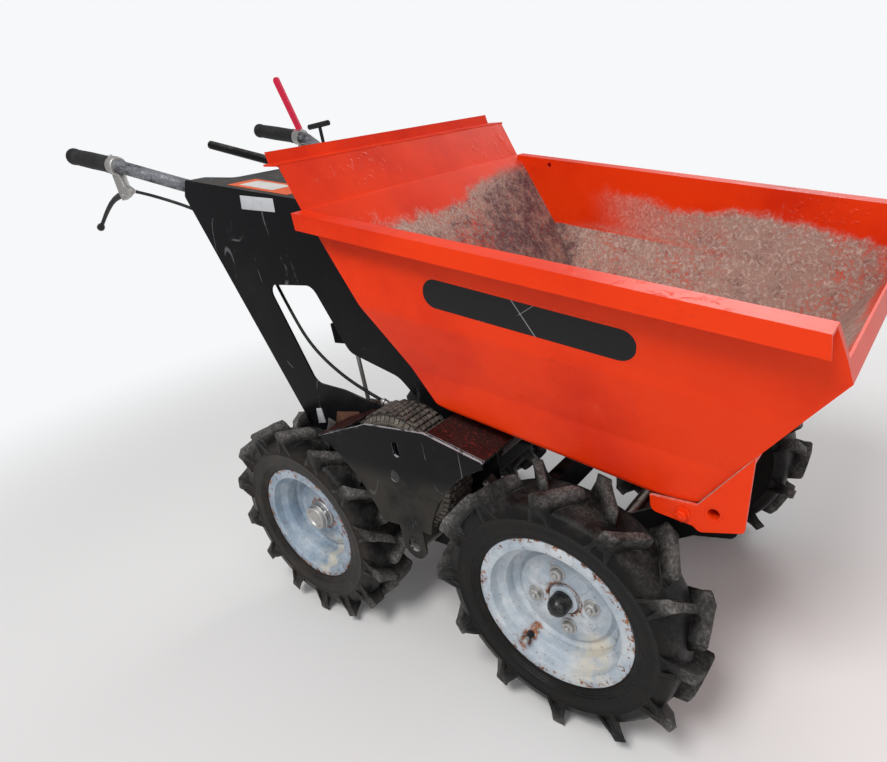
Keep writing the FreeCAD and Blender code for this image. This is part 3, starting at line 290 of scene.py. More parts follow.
rimMarks = {  # dark and light paint, a white darkened to blue-grey as painted shade (the rear's darker and bluer still, more painted shade), and angle in degrees and radius in metres of what time has left on the wheels
    "front": {"paint": (paint["rimWhiteShaded"], paint["rimPaleShaded"]), "hemRust": 0.10,
              "rust": (-127.0, 0.0955), "cream": (-62.0, 0.095), "smudge": (-28.0, 0.088)},
    # rear rim white, darker and bluer than the front: painted shade
    "rear": {"paint": ((0.22, 0.29, 0.37), (0.42, 0.48, 0.54)), "hemRust": 0.13,
             "rust": (-8.0, 0.034), "cream": (-75.0, 0.085), "smudge": (60.0, 0.092)},
}


def rimPaint(name, end):
    s = Sheet(name)
    c = paint
    rimRadius, holeRadius = wheels[end]["rim"] * mm, wheels[end]["hole"] * mm
    x, z = wheelX[end], middle["tyreRadius"]
    r = s.radius(x, z)

    def spot(which, inner, outer):
        degrees, reach = rimMarks[end][which]
        turn = math.radians(degrees)
        return s.step(s.radius(x + reach * math.cos(turn), z + reach * math.sin(turn)), outer, inner)

    cloud = s.noise(18, 7, 0.7)
    # two tones of white paint darkened to blue-grey: painted shade
    color = s.tint(s.step(cloud, 0.36, 0.68), *rimMarks[end]["paint"])
    color = s.tint(spot("cream", 0.01, 0.05) * s.step(cloud, 0.38, 0.6) * 0.75, color, c["cream"])
    color = s.tint(spot("smudge", 0.004, 0.022) * s.step(s.noise(70, 6, 0.8), 0.42, 0.58) * 0.6, color, c["smudge"])
    grime = s.step(s.noise(60, 7, 0.8), 0.52, 0.74)
    color = s.tint(grime * 0.35, color, c["dust"])
    rustNoise = s.noise(120, 6, 0.8)
    hem = s.step(r, rimRadius - 0.020, rimRadius + 0.004)
    hole = s.step(abs(r - holeRadius), 0.006, 0.001)
    specks = s.step(rustNoise + hem * rimMarks[end]["hemRust"], 0.60, 0.66)
    rust = specks + hole * s.step(rustNoise, 0.40, 0.56)
    rust = rust + spot("rust", 0.005, 0.017) * s.step(rustNoise, 0.34, 0.56)
    edge = s.worn(0.0016, 0.03, 0.3) * s.step(s.noise(48, 5, 0.7), 0.52, 0.64)
    mask = s.step(rust + edge, 0.1, 0.9)
    color = s.tint(mask, color, s.tint(s.step(s.noise(90, 4), 0.4, 0.6), c["rust"], c["rustBright"]))
    relief = s.bump(s.noise(240, 3) * 0.25 - mask * 0.5 + cloud * 0.3, 0.0005, 0.7)
    return s.finish(Base_Color=color, Roughness=0.34 + mask * 0.4 + grime * 0.15, Normal=relief,
                    Specular_IOR_Level=0.3)


def metal(name, base, stain, rough, stained):
    s = Sheet(name)
    spots = s.step(s.noise(55, 7, 0.78), 0.66 - stained * 0.3, 0.78 - stained * 0.2)
    color = s.tint(s.noise(90, 4), base, tuple(0.7 * part for part in base))
    color = s.tint(spots, color, stain)
    relief = s.bump(s.noise(400, 3) * 0.4 + spots * 0.3, 0.0004, 0.6)
    return s.finish(Base_Color=color, Metallic=1 - spots * 0.85, Roughness=rough + spots * 0.35, Normal=relief)


def axleMetal(name, capFrom):
    # bare shaft between the wheels, black ends outside
    s = Sheet(name)
    cap = s.step(abs(s.axis("Y")), capFrom, capFrom + 0.001)
    grime = s.step(s.noise(70, 6, 0.75), 0.5, 0.7)
    color = s.tint(grime, (0.30, 0.28, 0.26), paint["rust"])
    color = s.tint(cap, color, (0.008, 0.008, 0.009))
    color = s.tint(cap * grime * 0.25, color, paint["dust"])
    return s.finish(Base_Color=color, Metallic=1 - cap, Roughness=0.42 - cap * 0.18 + grime * 0.25,
                    Normal=s.bump(s.noise(300, 3), 0.0003, 0.5), Specular_IOR_Level=0.4)


def plain(name, base, wornTo, rough, grain, wear=0.6, shine=0.22):
    s = Sheet(name)
    grime = s.step(s.noise(24, 6, 0.7), 0.45, 0.72)
    color = s.tint(grime * 0.45, base, wornTo)
    edge = s.worn(0.0013, 0.03, 0.3) * s.step(s.noise(50, 5), 0.45, 0.6)
    color = s.tint(edge * wear, color, wornTo)
    relief = s.bump(s.noise(grain, 4) * 0.5, 0.0006, 0.7)
    return s.finish(Base_Color=color, Roughness=rough + grime * 0.2, Normal=relief, Specular_IOR_Level=shine)


def handlePaint():
    # black paint rubbed through to grey steel along the tubes
    s = Sheet("handlePaint")
    rubbed = s.step(s.noise(14, 8, 0.75, s.stretched(0.6, 1, 1)), 0.42, 0.56)
    scratch = s.step(s.noise(150, 5, 0.8, s.stretched(0.25, 1, 1)), 0.50, 0.62)
    mask = rubbed * (0.45 + scratch * 0.5)
    color = s.tint(mask, (0.035, 0.036, 0.040), (0.36, 0.37, 0.40))
    color = s.tint(s.step(s.noise(60, 6, 0.8), 0.64, 0.74), color, paint["rust"])
    return s.finish(Base_Color=color, Metallic=mask * 0.6, Roughness=0.34 + scratch * 0.15, Specular_IOR_Level=0.25,
                    Normal=s.bump(mask * 0.5 + s.noise(300, 3) * 0.3, 0.0003, 0.6))


def leverPaint():
    # zinc clamp below, dipped red blade above
    s = Sheet("dippedRed")
    red = s.step(s.axis("Z"), 0.9095, 0.9115)
    rubbed = s.step(s.noise(30, 6, 0.7), 0.52, 0.70)
    color = s.tint(rubbed * 0.5, (0.62, 0.010, 0.050), (0.40, 0.02, 0.05))
    color = s.tint(red, s.tint(rubbed, (0.50, 0.49, 0.47), (0.26, 0.24, 0.22)), color)
    return s.finish(Base_Color=color, Metallic=1 - red, Roughness=0.34 + rubbed * 0.1, Specular_IOR_Level=0.3,
                    Normal=s.bump(s.noise(220, 3), 0.0003, 0.5))


tyreCentre = {end: (wheelX[end], middle["tyreRadius"]) for end in wheelX}
finishes = {
    "skip_orange": skipPaint(),
    "chassis_black": blackPaint("chassisPaint", 0.45, 0.9),
    "tyre": tyreRubber("tyreRubberFront", tyreCentre["front"], 0.15),
    "rim_white": rimPaint("rimPaintFront", "front"),
    "bare_steel": metal("dullZinc", (0.60, 0.59, 0.57), paint["rust"], 0.52, 0.1),
    "black_rubber": plain("gripRubber", (0.012, 0.012, 0.013), (0.06, 0.058, 0.055), 0.5, 300),
    "black_plastic": plain("leverPlastic", (0.012, 0.012, 0.013), (0.07, 0.07, 0.072), 0.36, 500),
    "engine_alloy": metal("castAlloy", (0.36, 0.36, 0.35), (0.12, 0.09, 0.07), 0.5, 0.3),
    "shroud_paint": plain("coverPaint", (0.018, 0.018, 0.020), (0.11, 0.105, 0.10), 0.34, 200, 0.6, 0.3),
    "tank_plastic": plain("tankPlastic", (0.022, 0.022, 0.024), (0.10, 0.095, 0.09), 0.45, 250),
    "muffler_steel": metal("brownedSteel", (0.22, 0.17, 0.13), (0.20, 0.07, 0.03), 0.55, 0.6),
    "case_iron": metal("castIron", (0.16, 0.14, 0.13), (0.16, 0.07, 0.035), 0.6, 0.5),
    "lever_red": leverPaint(),
}
special = {
    "tyreRear": tyreRubber("tyreRubberRear", tyreCentre["rear"], 0.85),
    # rear rim paint: a darker, bluer copy of the rim white, painted shade
    "rimRearShaded": rimPaint("rimPaintRear", "rear"),
    "drive": driveRubber(),
    "axle": axleMetal("axleMetal", 0.2595),
    "shaft": axleMetal("shaftMetal", 0.2790),
    "handle": handlePaint(),
    "guard": blackPaint("guardPaint", 0.35, 1.0, 0.9),
}
slotOf = {part["node"]: part["material_slot"] for part in frame["record"]["subparts"]}
ownFinish = {
    "front_axle": "axle",
    "drive_shaft": "shaft",
    "handle_right": "handle",
    "handle_left": "handle",
    "drive_guard_right": "guard",
    "drive_guard_left": "guard",
}


def finishOf(name):
    return special[ownFinish[name]] if name in ownFinish else finishes[slotOf[name]]


for name, node in frame["nodes"].items():
    node.data.materials.clear()
    node.data.materials.append(finishOf(name))
print("finishes set")


def bodyOf(name):
    if name.startswith("skip_"):
        return "skip"
    if name.startswith(("tyre_", "rim_")):
        return "wheel_" + name.split("_", 1)[1]
    if name.startswith(("drive_tyre_", "drive_rim_")):
        return "drive_wheel_" + name.rsplit("_", 1)[1]
    return "frame"


def newPiece(name, mesh, material, body, slot, *nodes):
    piece = bpy.data.objects.new(name, mesh)
    bpy.context.scene.collection.objects.link(piece)
    mesh.materials.clear()
    mesh.materials.append(material)
    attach(piece, body)
    if nodes:
        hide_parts(*nodes)
    return piece


def trim(name, mesh, slot, *nodes):
    # piece of the frame in its slot's own finish
    mesh.name = name
    return newPiece(name, mesh, finishes[slot], "frame", slot, *nodes)


class Shape:
    # gathers closed shells, then makes one mesh of them
    def __init__(self):
        self.points, self.faces = [], []

    def add(self, points, faces):
        first = len(self.points)
        self.points += [Vector(point) for point in points]
        self.faces += [[first + i for i in face] for face in faces]

    def loft(self, rings, closed=False):
        size, count = len(rings[0]), len(rings)
        faces = []
        for k in range(count if closed else count - 1):
            here, there = k * size, (k + 1) % count * size
            faces += [[here + i, here + (i + 1) % size, there + (i + 1) % size, there + i] for i in range(size)]
        if not closed:
            faces += [list(range(size)), [(count - 1) * size + i for i in range(size)]]
        self.add([point for ring in rings for point in ring], faces)

    def turned(self, profile, place, segments, side=1):
        # closed outline of (radius, offset) in millimetres round a line across the machine
        rings = []
        for k in range(segments):
            turn = 2 * math.pi * k / segments
            rings.append([place + Vector((r * math.cos(turn), side * y, r * math.sin(turn))) * mm for r, y in profile])
        self.loft(rings, True)

    def bar(self, start, end, radius, segments=12, endRadius=None):
        start, end = Vector(start), Vector(end)
        across = (end - start).orthogonal().normalized()
        other = (end - start).normalized().cross(across)
        rings = []
        for point, size in ((start, radius), (end, radius if endRadius is None else endRadius)):
            turns = [2 * math.pi * i / segments for i in range(segments)]
            rings.append([point + (across * math.cos(a) + other * math.sin(a)) * size * mm for a in turns])
        self.loft(rings)

    def rods(self, start, out, steps):
        # bars in one line, in millimetres: first and last distance, radius and sides
        for first, last, radius, count in steps:
            self.bar(at(*(start + out * first)), at(*(start + out * last)), radius, count)

    def block(self, low, high):
        (x0, y0, z0), (x1, y1, z1) = low, high
        base = [(x0, y0), (x1, y0), (x1, y1), (x0, y1)]
        self.loft([[Vector((x, y, z)) for x, y in base] for z in (z0, z1)])

    def mesh(self, name, bevel=0.0, segments=2, sharp=38):
        bm = bmesh.new()
        points = [bm.verts.new(point) for point in self.points]
        for face in self.faces:
            bm.faces.new([points[i] for i in face])
        bmesh.ops.remove_doubles(bm, verts=bm.verts, dist=1e-6)
        bmesh.ops.recalc_face_normals(bm, faces=bm.faces)
        if bevel:
            corners = [e for e in bm.edges if len(e.link_faces) == 2 and e.calc_face_angle() > math.radians(28)]
            bmesh.ops.bevel(bm, geom=corners, offset=bevel * mm, segments=segments, affect="EDGES",
                            profile=0.5, clamp_overlap=True)
        mesh = bpy.data.meshes.new(name)
        bm.to_mesh(mesh)
        bm.free()
        mesh.shade_smooth()
        mesh.set_sharp_from_angle(angle=math.radians(sharp))
        return mesh


class Recipe:
    # a Geometry Nodes tree with named inputs
    def __init__(self, name, inputs):
        self.tree = bpy.data.node_groups.new(name, "GeometryNodeTree")
        self.tree.interface.new_socket("Geometry", in_out="INPUT", socket_type="NodeSocketGeometry")
        for label, kind in inputs.items():
            self.tree.interface.new_socket(label, in_out="INPUT", socket_type="NodeSocket" + kind)
        self.tree.interface.new_socket("Geometry", in_out="OUTPUT", socket_type="NodeSocketGeometry")
        self.given = self.tree.nodes.new("NodeGroupInput").outputs

    def node(self, kind, settings, values, out=0):
        made = self.tree.nodes.new(kind)
        for key, value in settings.items():
            setattr(made, key, value)
        for key, value in values.items():
            if isinstance(value, bpy.types.NodeSocket):
                self.tree.links.new(value, made.inputs[key])
            else:
                made.inputs[key].default_value = value
        return made.outputs[out]

    def finish(self, geometry):
        whole = self.node("GeometryNodeRealizeInstances", {}, {"Geometry": geometry})
        painted = self.node("GeometryNodeSetMaterial", {}, {"Geometry": whole, "Material": self.given["Material"]})
        self.tree.links.new(painted, self.tree.nodes.new("NodeGroupOutput").inputs["Geometry"])
        return self.tree


def ringRecipe():
    # copies of a part turned round a centre line
    r = Recipe("ringOfCopies", {"Part": "Object", "Count": "Int", "First": "Float", "Axis": "Vector",
                                "Centre": "Vector", "Material": "Material"})
    dots = r.node("GeometryNodePoints", {}, {"Count": r.given["Count"]})
    part = r.node("GeometryNodeObjectInfo", {}, {"Object": r.given["Part"]}, "Geometry")
    index = r.node("GeometryNodeInputIndex", {}, {})
    share = r.node("ShaderNodeMath", {"operation": "DIVIDE"}, {0: index, 1: r.given["Count"]})
    turn = r.node("ShaderNodeMath", {"operation": "MULTIPLY_ADD"}, {0: share, 1: 2 * math.pi, 2: r.given["First"]})
    angles = r.node("ShaderNodeVectorMath", {"operation": "SCALE"}, {0: r.given["Axis"], "Scale": turn})
    rotation = r.node("FunctionNodeEulerToRotation", {}, {"Euler": angles})
    copies = r.node("GeometryNodeInstanceOnPoints", {}, {"Points": dots, "Instance": part, "Rotation": rotation})
    moved = r.node("GeometryNodeTransform", {}, {"Geometry": copies, "Translation": r.given["Centre"]})
    return r.finish(moved)


def scatterRecipe():
    # a part stood on every point of a mesh, along its outward direction
    r = Recipe("partsOnPoints", {"Part": "Object", "Material": "Material"})
    part = r.node("GeometryNodeObjectInfo", {}, {"Object": r.given["Part"]}, "Geometry")
    outward = r.node("GeometryNodeInputNamedAttribute", {"data_type": "FLOAT_VECTOR"}, {"Name": "outward"})
    size = r.node("GeometryNodeInputNamedAttribute", {"data_type": "FLOAT"}, {"Name": "size"})
    rotation = r.node("FunctionNodeAlignRotationToVector", {"axis": "Z"}, {"Vector": outward})
    copies = r.node("GeometryNodeInstanceOnPoints", {}, {"Points": r.given["Geometry"], "Instance": part,
                                                         "Rotation": rotation, "Scale": size})
    return r.finish(copies)


def grown(recipe, base, values):
    # runs a tree once and keeps its result as a plain mesh
    holder = bpy.data.objects.new("holder", base)
    bpy.context.scene.collection.objects.link(holder)
    run = holder.modifiers.new("recipe", "NODES")
    run.node_group = recipe
    for item in recipe.interface.items_tree:
        if item.in_out == "INPUT" and item.name in values:
            run[item.identifier] = values[item.name]
    ready = holder.evaluated_get(bpy.context.evaluated_depsgraph_get())
    mesh = bpy.data.meshes.new_from_object(ready)
    holder.modifiers.remove(run)
    bpy.data.objects.remove(holder)
    return mesh


def partFor(mesh):
    part = bpy.data.objects.new("part", mesh)
    bpy.context.scene.collection.objects.link(part)
    return part


def ringOf(mesh, count, firstTurn, centre, material, axis=(0, -1, 0)):
    # firstTurn in radians, from straight ahead upwards on the wheels
    part = partFor(mesh)
    values = {"Part": part, "Count": count, "First": firstTurn, "Axis": Vector(axis), "Centre": centre,
              "Material": material}
    result = grown(ringTree, bpy.data.meshes.new("empty"), values)
    bpy.data.objects.remove(part)
    return result


def scattered(mesh, places, material):
    # places: point, outward direction, scale
    base = bpy.data.meshes.new("points")
    base.from_pydata([place for place, _, _ in places], [], [])
    base.attributes.new("outward", "FLOAT_VECTOR", "POINT")
    base.attributes.new("size", "FLOAT", "POINT")
    for i, (_, direction, scale) in enumerate(places):
        base.attributes["outward"].data[i].vector = direction
        base.attributes["size"].data[i].value = scale
    part = partFor(mesh)
    result = grown(scatterTree, base, {"Part": part, "Material": material})
    bpy.data.objects.remove(part)
    return result


def joined(name, meshes, sharp=38):
    bm = bmesh.new()
    for mesh in meshes:
        bm.from_mesh(mesh)
    whole = bpy.data.meshes.new(name)
    bm.to_mesh(whole)
    bm.free()
    whole.shade_smooth()
    whole.set_sharp_from_angle(angle=math.radians(sharp))
    return whole


ringTree = ringRecipe()
scatterTree = scatterRecipe()


rounding = {  # edge radius in millimetres: the pressed, cast and welded pieces that have it
    1.2: ["skip_shell", "skip_bracket_right", "skip_bracket_left", "drive_guard_right", "drive_guard_left",
          "engine_deck", "drive_lever", "throttle_lever"],
    1.0: ["side_panel_right", "side_panel_left", "console_top", "engine_block", "linkage_rod"],
    1.6: ["chassis_rail_right", "chassis_rail_left"],
    2.0: ["cross_members", "rest_bar", "brake_drum"],
    1.5: ["rest_pads"],
    5.0: ["engine_shroud"],
    8.0: ["fuel_tank"],
    6.0: ["muffler", "air_filter", "reduction_case"],
    4.0: ["transaxle"],
}


def roundedCopy(name, width):
    # the same piece with its sharp edges rolled over
    bm = bmesh.new()
    bm.from_mesh(frame["nodes"][name].data)
    bmesh.ops.remove_doubles(bm, verts=bm.verts, dist=1e-5)
    bmesh.ops.dissolve_limit(bm, angle_limit=math.radians(0.4), verts=bm.verts, edges=bm.edges)
    mesh = bpy.data.meshes.new(name + "_rounded")
    bm.to_mesh(mesh)
    bm.free()
    mesh.shade_smooth()
    piece = newPiece(name + "_rounded", mesh, finishOf(name), bodyOf(name), slotOf[name], name)
    bevel = piece.modifiers.new("rolledEdges", "BEVEL")
    bevel.width = width * mm
    bevel.segments = 2
    bevel.limit_method = "ANGLE"
    bevel.angle_limit = math.radians(28)
    even = piece.modifiers.new("evenNormals", "WEIGHTED_NORMAL")
    even.weight = 100


for width, names in rounding.items():
    for name in names:
        roundedCopy(name, width)
print("rounded pieces made")


tyreShape = {
    "middle": 260.0,
    "segments": 112,
    "rake": 0.2,  # radians between a lug's outer and inner end
    "tipLag": 0.0398,
    # outer skin from the bead to the middle: radius and distance from the middle plane
    "skin": [(28.5, -1.5), (33.5, 0.5), (36.0, 3.0), (36.4, 5.4), (37.4, 6.2), (37.6, 8.6), (38.9, 9.4), (39.2, 12.0),
             (40.6, 13.0), (41.6, 18), (42.4, 26), (42.7, 33), (43.4, 34), (43.4, 36), (42.6, 37), (41.6, 44),
             (39.0, 50.0), (35.5, 53.5), (29.0, 56.0), (16.0, 57.4), (0.0, 57.8)],
}
lugShape = {  # stations: distance outwards, outer radius, inner distance and radius, half widths outside and inside
    "stations": [(-4, 197.0, -8, 174.0, 4.2, 9.0), (1.0, 199.2, 1, 173.5, 6.6, 10.5), (12, 199.4, 12, 173.5, 6.2, 10.0),
                 (24, 199.4, 24, 173, 6.2, 10.5), (35, 199.5, 33, 170, 7.2, 11.5), (43, 199.6, 37, 166, 9.4, 12.5),
                 (46, 196.6, 38, 163, 9.6, 12.0), (46.0, 188.0, 39, 160, 8.8, 11.0), (45.6, 181.0, 40, 158, 7.2, 9.5)],
    "legTop": (186.0, 5.2, 3.9, 45.7),  # radius, offset, half width, distance outwards
    "legMiddle": (170.0, 9.6, 3.4, 45.2),
    "legFoot": (156.0, 13.4, 3.0, 43.9),
}


def lugPoint(distance, radius, shift, side):
    turn = -tyreShape["rake"] * (46 - distance) / 50 + shift / radius
    return Vector((radius * math.cos(turn), side * distance, radius * math.sin(turn))) * mm


def lugMesh(side, wide):
    s = Shape()
    rings = []
    for u, r, innerU, innerR, half, foot in lugShape["stations"]:
        half, foot = half * wide, foot * wide
        rings.append([lugPoint(innerU, innerR, -foot, side), lugPoint(u, r, -half, side),
                      lugPoint(u, r, half, side), lugPoint(innerU, innerR, foot, side)])
    s.loft(rings)
    for way in (-1, 1):
        rings = []
        for r, offset, half, u in (lugShape["legTop"], lugShape["legMiddle"], lugShape["legFoot"]):
            offset = way * offset * wide
            rings.append([lugPoint(u - 6, r, offset - half - 1.5, side), lugPoint(u, r, offset - half, side),
                          lugPoint(u, r, offset + half, side), lugPoint(u - 6, r, offset + half + 1.5, side)])
        s.loft(rings)
    return s.mesh("lug", 1.3, 2)


def tyreMesh(end, hand):
    side = -1 if hand == "right" else 1
    rimRadius, lugs, wide = (wheels[end][key] for key in ("rim", "lugs", "wide"))
    centre = Vector((wheelX[end], side * tyreShape["middle"] * mm, middle["tyreRadius"]))
    outer = [(rimRadius + rise, u) for u, rise in tyreShape["skin"]]
    outer[-6:] = [(wheels["front"]["rim"] + rise, u) for u, rise in tyreShape["skin"][-6:]]  # both share one tread
    inner = [(rimRadius - 14.4, 30.0), (rimRadius + 6, 29.0), (150, 33.5), (163, 31), (168, 20), (168.6, 0)]
    profile = outer + [(r, -u) for r, u in outer[-2::-1]] + [(r, -u) for r, u in inner] + inner[-2::-1]
    s = Shape()
    s.turned(profile, centre, tyreShape["segments"])
    material = finishes["tyre"] if end == "front" else special["tyreRear"]
    meshes = [s.mesh("carcass", 0, 2, 50)]
    pitch = 2 * math.pi / lugs
    for lugSide, shift in ((side, 0.0), (-side, 0.5)):
        first = shift * pitch - math.pi / 2 - tyreShape["tipLag"]
        meshes.append(ringOf(lugMesh(lugSide, wide), lugs, first, centre, material))
    return joined("tyre_" + end + "_" + hand + "_treaded", meshes), material


for end in wheels:
    for hand in ("right", "left"):
        mesh, material = tyreMesh(end, hand)
        newPiece(mesh.name, mesh, material, "wheel_" + end + "_" + hand, "tyre", "tyre_" + end + "_" + hand)
print("tyres made")


rimShape = {  # closed outlines: radius and distance outwards from the tyre's middle, millimetres
    "barrel": [(0, 34.5), (0, 31.5), (-15, 31.5), (-15, 19), (-28, 12), (-28, -12), (-15, -19), (-15, -31.5),
               (0, -31.5), (0, -34.5), (-18, -34.5), (-18, -19), (-31, -12), (-31, 12), (-18, 19), (-18, 34.5)],
    "discFront": [(26, -1.2), (30, -0.4), (56, 0.2), (60, -0.8), (66, -2.6), (71, -2.8), (77, -8.2), (80, -8.4),
                  (85, -4.4), (90.5, -3.4), (90.5, -6.2), (85, -7.4), (79, -11.4), (76, -11.2), (70, -5.6), (58, -3.6),
                  (26, -4.2)],
    "hubFront": [(12.6, -49), (22, -49), (22, -10), (61.8, -10), (61.8, -5), (22, -4.8), (22, 2), (12.6, 2)],
    "discRear": [(27, -6.8), (31, -6.2), (38, -6.2), (42, -8.6), (53, -8.8), (56, -6.8), (62, -6.6), (66, -9.6),
                 (70, -10.0), (74, -14.2), (77, -14.4), (81, -10.4), (85.5, -9.4), (85.5, -12.4), (80, -13.4),
                 (76, -17.4), (73, -17.2), (69, -13.0), (60, -10.4), (27, -10.4)],
    "hubRear": [(12.6, -49), (26, -49), (26, -7.6), (12.6, -7.6)],
    "capRear": [(0, 12.4), (14, 12.4), (16.5, 13.4), (18.5, 17), (22.6, 17), (23.4, 15.4), (24.2, 9), (25.6, 8.0),
                (25.6, 5.6), (24.8, 4.6), (26.2, -2), (28.0, -3.4), (28.0, -6.9), (26.5, -7.4), (0, -7.4)],
}
valveAt = {"front": rimMarks["front"]["rust"][0], "rear": 33}  # degrees
studs = {"circle": 45.0, "count": 4, "firstDegrees": 5.0, "across": 9.8}


def nutMesh(side):
    s = Shape()
    out = Vector((0, side, 0))
    foot = Vector((studs["circle"], 0, 0)) * mm + out * 0.1 * mm
    s.bar(foot, foot + out * 1.8 * mm, 12.2, 20)
    s.bar(foot + out * 1.8 * mm, foot + out * 8.6 * mm, studs["across"], 6)
    s.bar(foot + out * 8.6 * mm, foot + out * 12.6 * mm, 5.0, 14, 4.2)
    return s.mesh("nut", 0.9, 2)


def embossMesh(side):
    s = Shape()
    corners = [(31, -9), (38, -13), (52, -13), (57, -7), (57, 7), (52, 13), (38, 13), (31, 9)]
    s.loft([[Vector((x, side * u, z)) * mm for x, z in corners] for u in (-1.2, 1.0)])
    return s.mesh("emboss", 1.4, 3)


def valveMesh(place, side, away):
    rubber, tip = Shape(), Shape()
    out = (Vector((0, side, 0)) + away * 0.35).normalized()
    rubber.bar(place - out * 2 * mm, place + out * 2.5 * mm, 7.0, 16, 6.0)
    rubber.bar(place + out * 2.5 * mm, place + out * 14 * mm, 5.0, 16, 3.6)
    tip.bar(place + out * 13 * mm, place + out * 20 * mm, 2.9, 12)
    tip.bar(place + out * 20 * mm, place + out * 26 * mm, 3.6, 12, 3.2)
    return rubber.mesh("valveFoot", 0.8, 2), tip.mesh("valveTip", 0.5, 1)


for end, wheel in wheels.items():
    rimRadius = wheel["rim"]
    for hand, side in (("right", -1), ("left", 1)):
        centre = Vector((wheelX[end], side * tyreShape["middle"] * mm, middle["tyreRadius"]))
        body, tag = "wheel_" + end + "_" + hand, end + "_" + hand
        # the rear rims take the darker painted-shade copy of the rim white
        rimFinish = finishes["rim_white"] if end == "front" else special["rimRearShaded"]
        barrel = Shape()
        barrel.turned([(rimRadius + r, u) for r, u in rimShape["barrel"]], centre, 128, side)
        middlePieces = Shape()
        for part in ("disc", "hub"):
            middlePieces.turned(rimShape[part + end.capitalize()], centre, 96, side)
        meshes = [barrel.mesh("barrel", 1.2, 2), middlePieces.mesh("disc", 0.7, 2, 60)]
        fittings = []
        if end == "front":
            first = math.radians(studs["firstDegrees"])
            meshes.append(ringOf(embossMesh(side), 4, first + math.pi / 4, centre, rimFinish))
            fittings.append(ringOf(nutMesh(side), studs["count"], first, centre, finishes["bare_steel"]))
        else:
            cap = Shape()
            cap.turned(rimShape["capRear"], centre, 64, side)
            fittings.append(cap.mesh("cap", 0.5, 2, 50))
        newPiece("rim_" + tag + "_pressed", joined("rim_" + tag + "_pressed", meshes, 60), rimFinish, body,
                 "rim_white", "rim_" + tag)
        turn = math.radians(valveAt[end])
        away = Vector((math.cos(turn), 0, math.sin(turn)))
        reach = (rimRadius - 24.5) * mm
        foot, tip = valveMesh(centre + away * reach + Vector((0, side * 13.5 * mm, 0)), side, -away)
        newPiece("valve_foot_" + tag, foot, finishes["black_rubber"], body, "black_rubber")
        fittings.append(tip)
        newPiece("wheel_fittings_" + tag, joined("wheel_fittings_" + tag, fittings, 50), finishes["bare_steel"],
                 body, "bare_steel")
print("rims made")


driveShape = {
    "middle": 243.0,
    "body": [(99.0, 0), (98.8, 20), (97, 25), (91, 29.4), (83, 32.2), (70, 33), (58.4, 33), (58.4, 0)],
    "rows": 30,
    "blocks": 5,
    "pitch": 10.6,
    "reach": 103.3,
}


def blockRow():
    # two staggered rows of tread blocks across the tyre, and the bars on its shoulders
    s = Shape()
    step = math.pi / driveShape["rows"]
    half = driveShape["reach"] * step * 0.34
    for row in (0, 1):
        blocks = driveShape["blocks"] - row
        turned = Matrix.Rotation(-step * row, 3, "Y")
        for i in range(blocks):
            u = (i - (blocks - 1) / 2) * driveShape["pitch"]
            rings = []
            for r, wide, deep in ((97.5, half + 0.6, 4.4), (driveShape["reach"] - 1, half, 3.7),
                                  (driveShape["reach"], half - 0.7, 3.0)):
                corners = ((-deep, -wide), (deep, -wide), (deep, wide), (-deep, wide))
                rings.append([turned @ Vector((r, u + across, along)) * mm for across, along in corners])
            s.loft(rings)
        for way in (-1, 1):
            s.loft([[turned @ Vector(point) * mm for point in ((r, way * u, -w), (r - 4, way * (u - 4), -w),
                                                               (r - 4, way * (u - 4), w), (r, way * u, w))]
                    for r, u, w in ((100.6, 27.0, half), (91.0, 31.6, half * 0.8))])
    return s.mesh("row", 0, 1, 30)


for hand, side in (("right", -1), ("left", 1)):
    centre = Vector((middle["x"], side * driveShape["middle"] * mm, middle["driveHeight"]))
    s = Shape()
    outline = driveShape["body"]
    s.turned(outline + [(r, -u) for r, u in outline[-2:0:-1]], centre, 96)
    rows = ringOf(blockRow(), driveShape["rows"], 0.0, centre, special["drive"])
    name = "drive_tyre_" + hand + "_blocked"
    newPiece(name, joined(name, [s.mesh("ring", 0, 1, 50), rows], 30), special["drive"], "drive_wheel_" + hand,
             "tyre", "drive_tyre_" + hand)
print("drive tyres made")


cableRoutes = {  # x, y, z in millimetres, from the lever to the far end
    "brake": [(-611.1, -236.6, 838.2), (-557, -236.6, 827.4), (-493, -192, 787), (-425, -166, 738),
              (-366, -160, 672), (-324, -168, 594), (-275, -177, 520), (-200, -181, 466), (-108, -184, 430),
              (-20, -189.5, 405.1)],
    "drive": [(-640.8, 236.0, 866.7), (-570.7, 234.1, 850.1), (-506, 197, 803), (-436, 172, 761),
              (-380, 166, 697), (-345, 170, 618), (-306, 175, 541), (-240, 173, 484), (-169, 168, 472.5),
              (-165, 112.3, 472)],
    "throttle": [(-522.7, 178.7, 823.0), (-461.6, 156.7, 797), (-405, 146, 744), (-345, 126, 703),
                 (-284.6, 94.4, 673.5), (-243.6, 65.6, 672)],
}
cableRadius = 3.0


def cableCurve(name, route):
    curve = bpy.data.curves.new(name, "CURVE")
    curve.dimensions = "3D"
    line = curve.splines.new("NURBS")
    line.points.add(len(route) - 1)
    for point, (x, y, z) in zip(line.points, route):
        point.co = (*at(x, y, z), 1)
    line.order_u = 3
    line.use_endpoint_u = True
    line.resolution_u = 8
    curve.bevel_depth = cableRadius * mm
    curve.bevel_resolution = 4
    curve.use_fill_caps = True
    return curve


for name, route in cableRoutes.items():
    cable = bpy.data.objects.new(name + "_cable", cableCurve(name + "_cable", route))
    bpy.context.scene.collection.objects.link(cable)
    cable.data.materials.append(finishes["black_rubber"])
    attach(cable, "frame")
    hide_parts("control_cables")
print("cables made")


